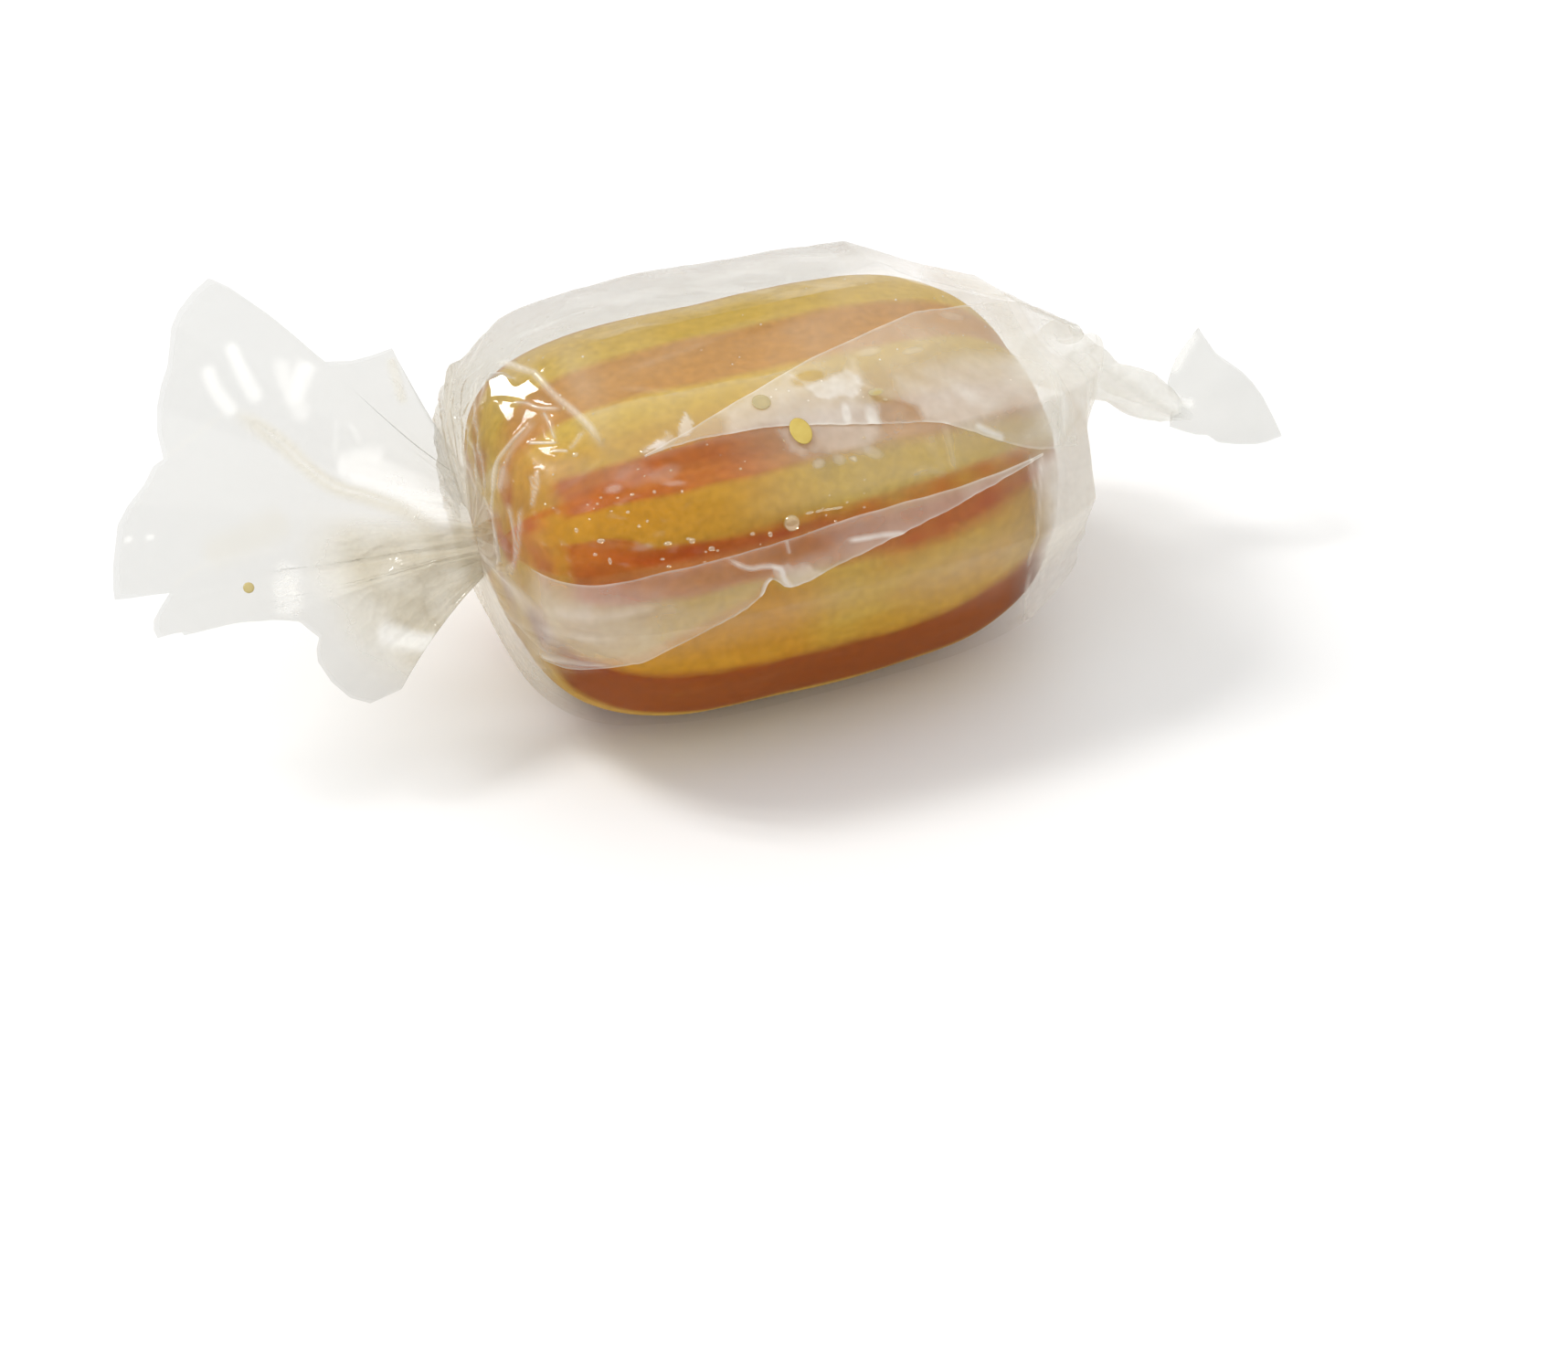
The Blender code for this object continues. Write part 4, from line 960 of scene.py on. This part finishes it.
    # Its bubbles, its grey, its painted warm shade where it gathers at the left neck and along
    # creases, and its shine.
    bubbles = 0.55 * ease((noise(rough, 3 * MM, 35) + 0.25) / 0.5) * fall(degrees, 134, 16)
    grey = rise(gap, 0.5, 0.9) * (0.75 - 0.7 * rise(x, 9, 3)) * fall(degrees, 82, 14)
    warm = 0.3 * left_side * fall(girth, 0.95, 0.3) * (1 - in_lens) * (1 - 0.6 * shoulder)
    glow = bell(x, -12.3, 1.3) * bell(degrees, 84, 10)
    dull = bell(x, -13.1, 1.1) * bell(degrees, 97, 6) * (1 - bright)
    shine = 0.85 + 1.3 * glow - 0.8 * dull + 0.5 * rise(gap, 1, 1.4) - 0.72 * low
    shine = shine - 0.62 * in_lens * fall(x, -2, 4)
    return grid, {"haze": np.clip(haze, 0, 0.95), "grey": grey, "bubbles": bubbles,
                  "warm": warm + 0.04 * named_milk, "shine": np.maximum(shine, 0.05)}


def make_cover():
    """The film round the sweet, with more points on the side that has the lap."""
    turn = even_turns(COVER_ROWS, FILM_POWER, FILM_POWER, 15.5 * MM, 9 * MM, LAST_RING, 0.6)
    angle = front_angles(COVER_COLUMNS, 128, 84, 0.26)
    turn, angle = np.meshgrid(turn, angle, indexing="ij")
    grid, fields = film_grid(turn, angle)
    mesh_piece("film_cover", [(grid, True, False, fields)], FILM, "wrapper")


def film_flap(upper, lower, counts, lift, puff, hazes, soft, outlined, creases, seed):
    """A second layer of film between two edges, lying on the cover."""
    rows, columns = counts
    x = np.linspace(upper[0][0], upper[-1][0], columns)
    flat = ring_points(x * MM, 0 * x, 0)
    first = read_line(x, cut_corners(upper)) + 0.22 * noise(flat, 1.3 * MM, seed)
    last = read_line(x, cut_corners(lower)) + 0.25 * noise(flat, 1.5 * MM, seed + 2)
    last = last + 0.16 * noise(flat, 0.5 * MM, seed + 3)
    share = np.linspace(0, 1, rows)[:, None]
    angle = np.radians(first + (last - first) * share)
    place = np.broadcast_to(x * MM, angle.shape)
    turn = film_turn(place, film_reach(place, angle))
    width = np.abs(np.radians(last - first)) * 9
    bulge = np.sin(math.pi * share) * np.minimum(width * 0.12, 0.5) * puff
    rumple = noise(np.stack([place, angle * 9.5 * MM, 0 * place], -1), 1.6 * MM, seed + 4)
    rumple = 0.05 * rumple * np.sin(math.pi * share)
    grid, fields = film_grid(turn, angle, (lift + bulge + rumple) * MM, creases)
    # Painted edge highlight: milk along the flap's cut edges, where the film's thickness and curl
    # would catch light.
    edge_highlight_milk = bell(np.minimum(share, 1 - share) * np.maximum(width, 0.05), 0, 0.07)
    left_haze, right_haze, far_haze = hazes
    haze = right_haze + (left_haze - right_haze) * fall(x, -3, 9)
    haze = haze + far_haze * rise(x, -2, 3)
    haze = haze * (1 + 0.18 * noise(grid * (0.5, 1, 1), 1.4 * MM, seed + 5))
    haze = np.maximum(haze + milky_places(place, angle, soft, outlined), 0)
    named = crease_lines(film_spots(turn, angle), CREASES + tuple(creases))[1]
    begun = rise(x, -14, 0.7)
    haze = np.clip(haze + 0.3 * edge_highlight_milk + named, 0, 0.95) * begun
    return (grid, False, False, {"haze": haze, "grey": 0, "warm": 0, "shine": 0.8 * begun,
                                 "bubbles": 0.9 * fields["bubbles"]})


def make_flaps():
    lap = film_flap(LAP_EDGE, LENS_TOP[4:], LAP_GRID, 0.09, 0.4, (0.12, 0.24, 0),
                    LAP_PATCHES, LAP_AREAS, (), 41)
    flap = film_flap(FLAP_TOP, FLAP_LOW, FLAP_GRID, 0.12, 0.3, (0.25, 0.15, 0.24),
                     FLAP_PATCHES, FLAP_AREAS, FLAP_CREASES, 51)
    mesh_piece("film_laps", [lap, flap], FILM, "wrapper")


# ---- drops of syrup ----

def drop_sheet(centre, along, across, height, pale=BEAD_PALE, solid=0):
    """A flat round drop, from its foot up over its top."""
    up = np.cross(along, across)
    up = up / np.linalg.norm(up)
    climb = np.radians(DROP_RINGS)[:, None, None]
    turned = (np.arange(DROP_COLUMNS) * (TURN / DROP_COLUMNS))[:, None]
    grid = centre + np.cos(climb) * (np.cos(turned) * along + np.sin(turned) * across)
    return (grid + height * np.sin(climb) * up, True, True, {"pale": pale, "solid": solid})


def on_film(x, degrees, lift):
    """A point on the film and the directions along and across it."""
    turns = film_turn(x * MM) + np.array([[-0.01, 0.01, 0, 0]])
    angles = np.radians([[degrees, degrees, degrees + 1, degrees - 1]])
    spots = film_grid(turns, angles, lift)[0][0]
    along, across = spots[1] - spots[0], spots[3] - spots[2]
    along, across = along / np.linalg.norm(along), across / np.linalg.norm(across)
    outward = spots.mean(0) - (spots[0][0], 0, CENTRE_HEIGHT)
    if np.cross(along, across) @ outward < 0:
        across = -across
    return spots.mean(0), along * MM, across * MM


def make_drops():
    """Syrup that sticks to the film, and clear beads that glint along its wet edges."""
    picks = np.random.default_rng(91)
    spots = []
    for x, degrees, *form in DROPS:
        over = len(form) > 3 and form[4] > SYRUP_SOLID
        spots.append((x, degrees, SYRUP_LIFT if over else BEAD_LIFT, *form))
    for x, degrees in np.linspace(*np.array(GLINT_ENDS), GLINT_COUNT):
        spots.append((x, degrees, GLINT_LIFT, 0.22, 0.07, 0.06))
    for _ in range(SPECK_COUNT):
        x = picks.uniform(-12.6, 2)
        line, offset = (RIB_LOW, -2) if picks.random() < 0.6 else (LENS_TOP, 5)
        degrees = read_line(x, line) + picks.normal(offset, 2.6)
        size = picks.uniform(0.03, 0.08)
        spots.append((x, degrees, SPECK_LIFT, size * picks.uniform(1, 2), size, size))
    sheets = []
    for x, degrees, lift, half_length, half_width, height, *look in spots:
        centre, along, across = on_film(x, degrees, lift * MM)
        along, across = along * half_length, across * half_width
        sheets.append(drop_sheet(centre, along, across, height * MM, *look))
    degrees, reach, size = FAN_DROP
    left = np.array((-1, 0, 0))
    spoke = math.cos(math.radians(degrees)) * left + math.sin(math.radians(degrees)) * FAN_SPREAD
    centre = LEFT_NECK + reach * MM * spoke - 0.45 * MM * np.cross(left, FAN_SPREAD)
    size = size * MM
    sheets.append(drop_sheet(centre, FAN_SPREAD * size, left * size, 0.05 * MM, 0.6, 0.8))
    mesh_piece("syrup_drops", sheets, SYRUP, "sweet")


# ---- necks and fans ----

def bezier(points, count):
    t = np.linspace(0, 1, count)[:, None]
    s = 1 - t
    a, b, c, d = np.array(points)
    return a * s ** 3 + 3 * b * s * s * t + 3 * c * s * t * t + d * t ** 3


def rope_sheet(seed=62):
    """The rope-like neck: a twisted bundle of film along a curve."""
    centres = bezier(ROPE_PATH, ROPE_ROWS) * MM
    heading = np.gradient(centres, axis=0)
    heading /= np.linalg.norm(heading, axis=1, keepdims=True)
    side = np.cross(heading, (0, 0, 1))
    side /= np.linalg.norm(side, axis=1, keepdims=True)
    over = np.cross(side, heading)
    share = np.linspace(0, 1, ROPE_ROWS)[:, None]
    turned = (np.arange(ROPE_COLUMNS) * (TURN / ROPE_COLUMNS))[None, :]
    form = np.ones((ROPE_ROWS, ROPE_COLUMNS))
    for count, depth, phase in ROPE_STRANDS:
        swing = 0.6 * np.sin(5 * share + phase)
        wave = np.sin(0.5 * count * (turned - TURN * ROPE_TURNS * share + swing) + phase)
        form += depth * (np.abs(wave) - 0.6)
    spot = ring_points(6 * share + 0 * turned, 1, turned + 0 * share)[..., [1, 2, 0]]
    form += 0.05 * noise(spot, 0.6, seed)
    radius = (read_line(share, ROPE_RADII) * NECK_RADIUS * form)[..., None]
    grid = centres[:, None] + radius * (
        np.cos(turned)[..., None] * side[:, None] + np.sin(turned)[..., None] * over[:, None])
    shown = rise(share, 0.25, 0.2)
    # Painted highlight: a white streak of milk winding along the rope; painted shade: a warm line
    # beside it with less milk.
    streak = bell(turned + share, 1.15, 0.28) * shown
    shade = bell(turned + share, 0.55, 0.22) * shown
    ended = 1 - rise(share, 0.84, 0.15)
    milk = np.clip(0.42 + 0.6 * streak - 0.1 * shade, 0, 0.95) * ended
    return (grid, True, False, {"haze": milk, "grey": 0.02, "warm": 0.3 * shade * ended,
                                "shine": 0.5 * ended, "bubbles": 0})


def polar(line):
    """Flat points of a line of angles in degrees and reaches."""
    angle, reach = np.array(line, float).T
    angle = np.radians(angle)
    return np.stack([reach * np.cos(angle), reach * np.sin(angle)], -1)


def outline_points(outline, count):
    """Points at even distances along an outline of angles and reaches."""
    angle, reach = np.array(outline, float).T
    steps = np.hypot(np.diff(reach) * 0.06, np.diff(np.radians(angle)) * reach[1:])
    length = np.concatenate([[0], np.cumsum(steps)])
    at = np.linspace(0, length[-1], count)
    return np.stack([np.interp(at, length, axis) for axis in polar(outline).T], -1)


def fan_sheet(root, heading, outline, leans, counts, gather, depth, seed, scale, lines, milk, neck):
    """A twist's fanned end: a front layer with the outline, and a clear one close behind it."""
    rows, fronts, backs = counts
    facing = np.cross(heading, FAN_SPREAD)
    tips = outline_points(outline, fronts), 0.985 * outline_points(outline, backs)[::-1]
    tips = np.concatenate(tips)
    order = np.arange(fronts + backs)
    before = (order < fronts) + np.zeros((rows, 1))
    circle = np.where(order < fronts, order / fronts, 1 + (order - fronts) / backs) * math.pi
    angle = np.arctan2(tips[:, 1], tips[:, 0])
    length = np.linalg.norm(tips, axis=1)
    lean = (length * read_line(np.degrees(angle), leans))[:, None]
    out = np.linspace(0, 1, rows)[:, None] ** 1.1
    ring = gather[0] * np.cos(circle)[:, None] * FAN_SPREAD
    ring = ring - gather[1] * np.sin(circle)[:, None] * facing
    spokes = tips[:, :1] * heading + tips[:, 1:] * FAN_SPREAD + lean * facing
    grid = root + ring * (1 - out[..., None]) ** 2 + out[..., None] * spokes * MM
    reach = out * length
    degrees = np.degrees(angle) + 0 * reach
    flat = np.stack([reach * np.cos(angle), reach * np.sin(angle)], -1)
    spot = np.stack([degrees / 5.5, 0.25 * reach, 4 * before], -1)
    near = np.minimum(reach, 2) / 2
    fade = np.exp(-reach / (3.2 * scale))

    # Folds from the neck, soft waves, a crumpled part, and the lines that the photo shows.
    folds = 0.32 * noise(spot, 1, seed + 1)
    folds = folds + 0.06 * ridges(spot * (2, 1, 1), 1, seed + 2)
    soft = 0.55 * noise(grid, 6.5 * MM * scale, seed + 3) * near
    crumpled = neck * fall(reach, 9.5, 3.5) * fall(degrees, 22, 14) * before
    wrinkles = ridges(grid, 1.1 * MM, seed + 4) ** 2 + 0.5 * ridges(grid, 0.5 * MM, seed + 5) ** 2
    lift, painted_highlight, warm, band = np.zeros((4, *reach.shape))
    for up, width, haze, tan, crinkles, line in lines:
        line = line_shape(flat, polar(cut_corners(line)), 2 * width)
        shape = ease(1.15 * line)
        lift = np.maximum(lift, up * shape)
        # Painted highlights: white streaks where the film loses its grey and gains milk.
        painted_highlight = np.maximum(painted_highlight, np.minimum(haze, 1) * ease(1.2 * line))
        warm = np.maximum(warm, tan * shape)
        band = np.maximum(band, crinkles * shape)
    crinkle = ridges(grid, 0.7 * MM, seed + 8) ** 3 * band
    away = folds * near * fade * neck * scale + soft * scale ** 0.5 + lift
    away = (away + 0.12 * crinkle + 0.08 * wrinkles * crumpled) * before
    away = away - (1 - before) * 4 * out * (1 - out) * depth
    grid = grid - away[..., None] * MM * facing

    # Milkiness, painted warm shade and greyness: the white streaks are painted highlights, film
    # without its grey and with more milk, and the crinkles' milk is painted sparkle.
    streaks = ridges(spot * (1.6, 1, 1), 1, seed + 6) ** 3
    haze = milk + 0.03 * noise(grid, 3.4 * MM, seed + 9) + 0.15 * painted_highlight + 0.6 * crinkle
    haze = haze + (0.18 + 0.05 * streaks) * fade * (0.3 + 0.7 * neck)
    cloudy = 0.46 + 0.24 * noise(grid, 1.3 * MM, seed + 10) + 0.04 * streaks + 0.12 * wrinkles
    haze = 0.01 + np.maximum(haze + crumpled * cloudy, 0) * before
    # Painted shade: warm where the neck is crumpled and near the root.
    warm = warm + (0.78 + 0.3 * noise(grid, 1.6 * MM, seed + 11)) * crumpled + 0.3 * fade * neck
    warm = warm * before * (1 - painted_highlight)
    grey = before * (1 - 0.25 * fade) * (1 - painted_highlight)
    begun = np.maximum(neck, rise(reach, 0.25, 0.5))
    return (grid, True, False, {"haze": np.clip(haze, 0, 0.96) * begun, "grey": grey * begun,
                                "warm": np.clip(warm, 0, 0.9), "bubbles": 0,
                                "shine": (0.3 + 0.6 * before) * begun})


def make_twists():
    left, right = np.array(((-1, 0, 0), (1, 0, 0)))
    fan = fan_sheet(LEFT_NECK - 0.9 * MM * left, left, LEFT_OUTLINE, LEFT_LEANS, FAN_GRID,
                    (1.7 * MM, 0.8 * MM), 0.8, 71, 1, FAN_LINES, 0.05, 1)
    leaf = fan_sheet(LEAF_ROOT, right, RIGHT_OUTLINE, RIGHT_LEANS, LEAF_GRID,
                     (0.15 * MM, 0.1 * MM), 0.3, 81, 0.35, LEAF_LINES, 0.16, 0)
    mesh_piece("fanned_twist", [fan], FILM, "wrapper")
    mesh_piece("rope_twist", [rope_sheet(), leaf], FILM, "wrapper")


make_sweet()
make_cover()
make_flaps()
make_twists()
make_drops()


# ---- floor, light and camera ----

def make_floor(half=3):
    mesh = bpy.data.meshes.new("floor")
    corners = [(-half, -half, 0), (half, -half, 0), (half, half, 0), (-half, half, 0)]
    mesh.from_pydata(corners, [], [(0, 1, 2, 3)])
    mesh.materials.append(floor_material())
    floor = new_object("floor", mesh)
    floor.location.z = -0.02 * MM


def make_world():
    """Soft light from all round: brightest overhead and behind, dimmer low at the front."""
    world = bpy.data.worlds.new("soft_studio")
    world.use_nodes = True
    nodes = Nodes(world.node_tree)
    where = nodes.add("TexCoord").node.outputs["Generated"]
    x, y, z = nodes.add("SeparateXYZ", Vector=where).node.outputs
    light = nodes.maths("MULTIPLY_ADD", y, 0.02, 0.55)
    light = nodes.maths("MULTIPLY_ADD", nodes.maths("MAXIMUM", x, 0), 0.16, light)
    high = nodes.maths("POWER", nodes.maths("MAXIMUM", z, 0), 2)
    light = nodes.maths("MULTIPLY_ADD", high, 0.55, light)
    nodes.show("World", nodes.add("Background", Color=(1, 0.995, 0.985), Strength=light))
    bpy.context.scene.world = world


def make_light(name, direction, distance, width, height, radiance, colour):
    """A softbox that faces the sweet."""
    data = bpy.data.lights.new(name, "AREA")
    data.shape = "RECTANGLE"
    data.size, data.size_y = width, height
    data.energy = radiance * math.pi * width * height
    data.color = colour
    light = new_object(name, data)
    aim = Vector(direction).normalized()
    light.location = aim * distance + Vector((0, 0, CENTRE_HEIGHT))
    light.rotation_euler = aim.to_track_quat("Z", "Y").to_euler()


def make_camera():
    """The photograph's view: from the front and left of the sweet, looking down."""
    azimuth, elevation = math.radians(-22), math.radians(40.5)
    level = math.cos(elevation)
    back = Vector((math.sin(azimuth) * level, -math.cos(azimuth) * level, math.sin(elevation)))
    right = Vector((math.cos(azimuth), math.sin(azimuth), 0))
    data = bpy.data.cameras.new("camera")
    data.lens, data.sensor_width, data.clip_start = 90, 36, 0.005
    camera = new_object("camera", data)
    turn = Matrix((right, back.cross(right), back)).transposed().to_4x4()
    camera.matrix_world = Matrix.Translation((-0.05501, -0.1385, 0.12375)) @ turn
    bpy.context.scene.camera = camera


make_floor()
make_world()
make_light("window", (-0.5, 0.33, 0.8), 0.45, 0.066, 0.14, 31, (1, 1, 0.99))
make_camera()
bpy.context.scene.view_settings.view_transform = "Standard"
bpy.context.scene.cycles.transparent_max_bounces = 40
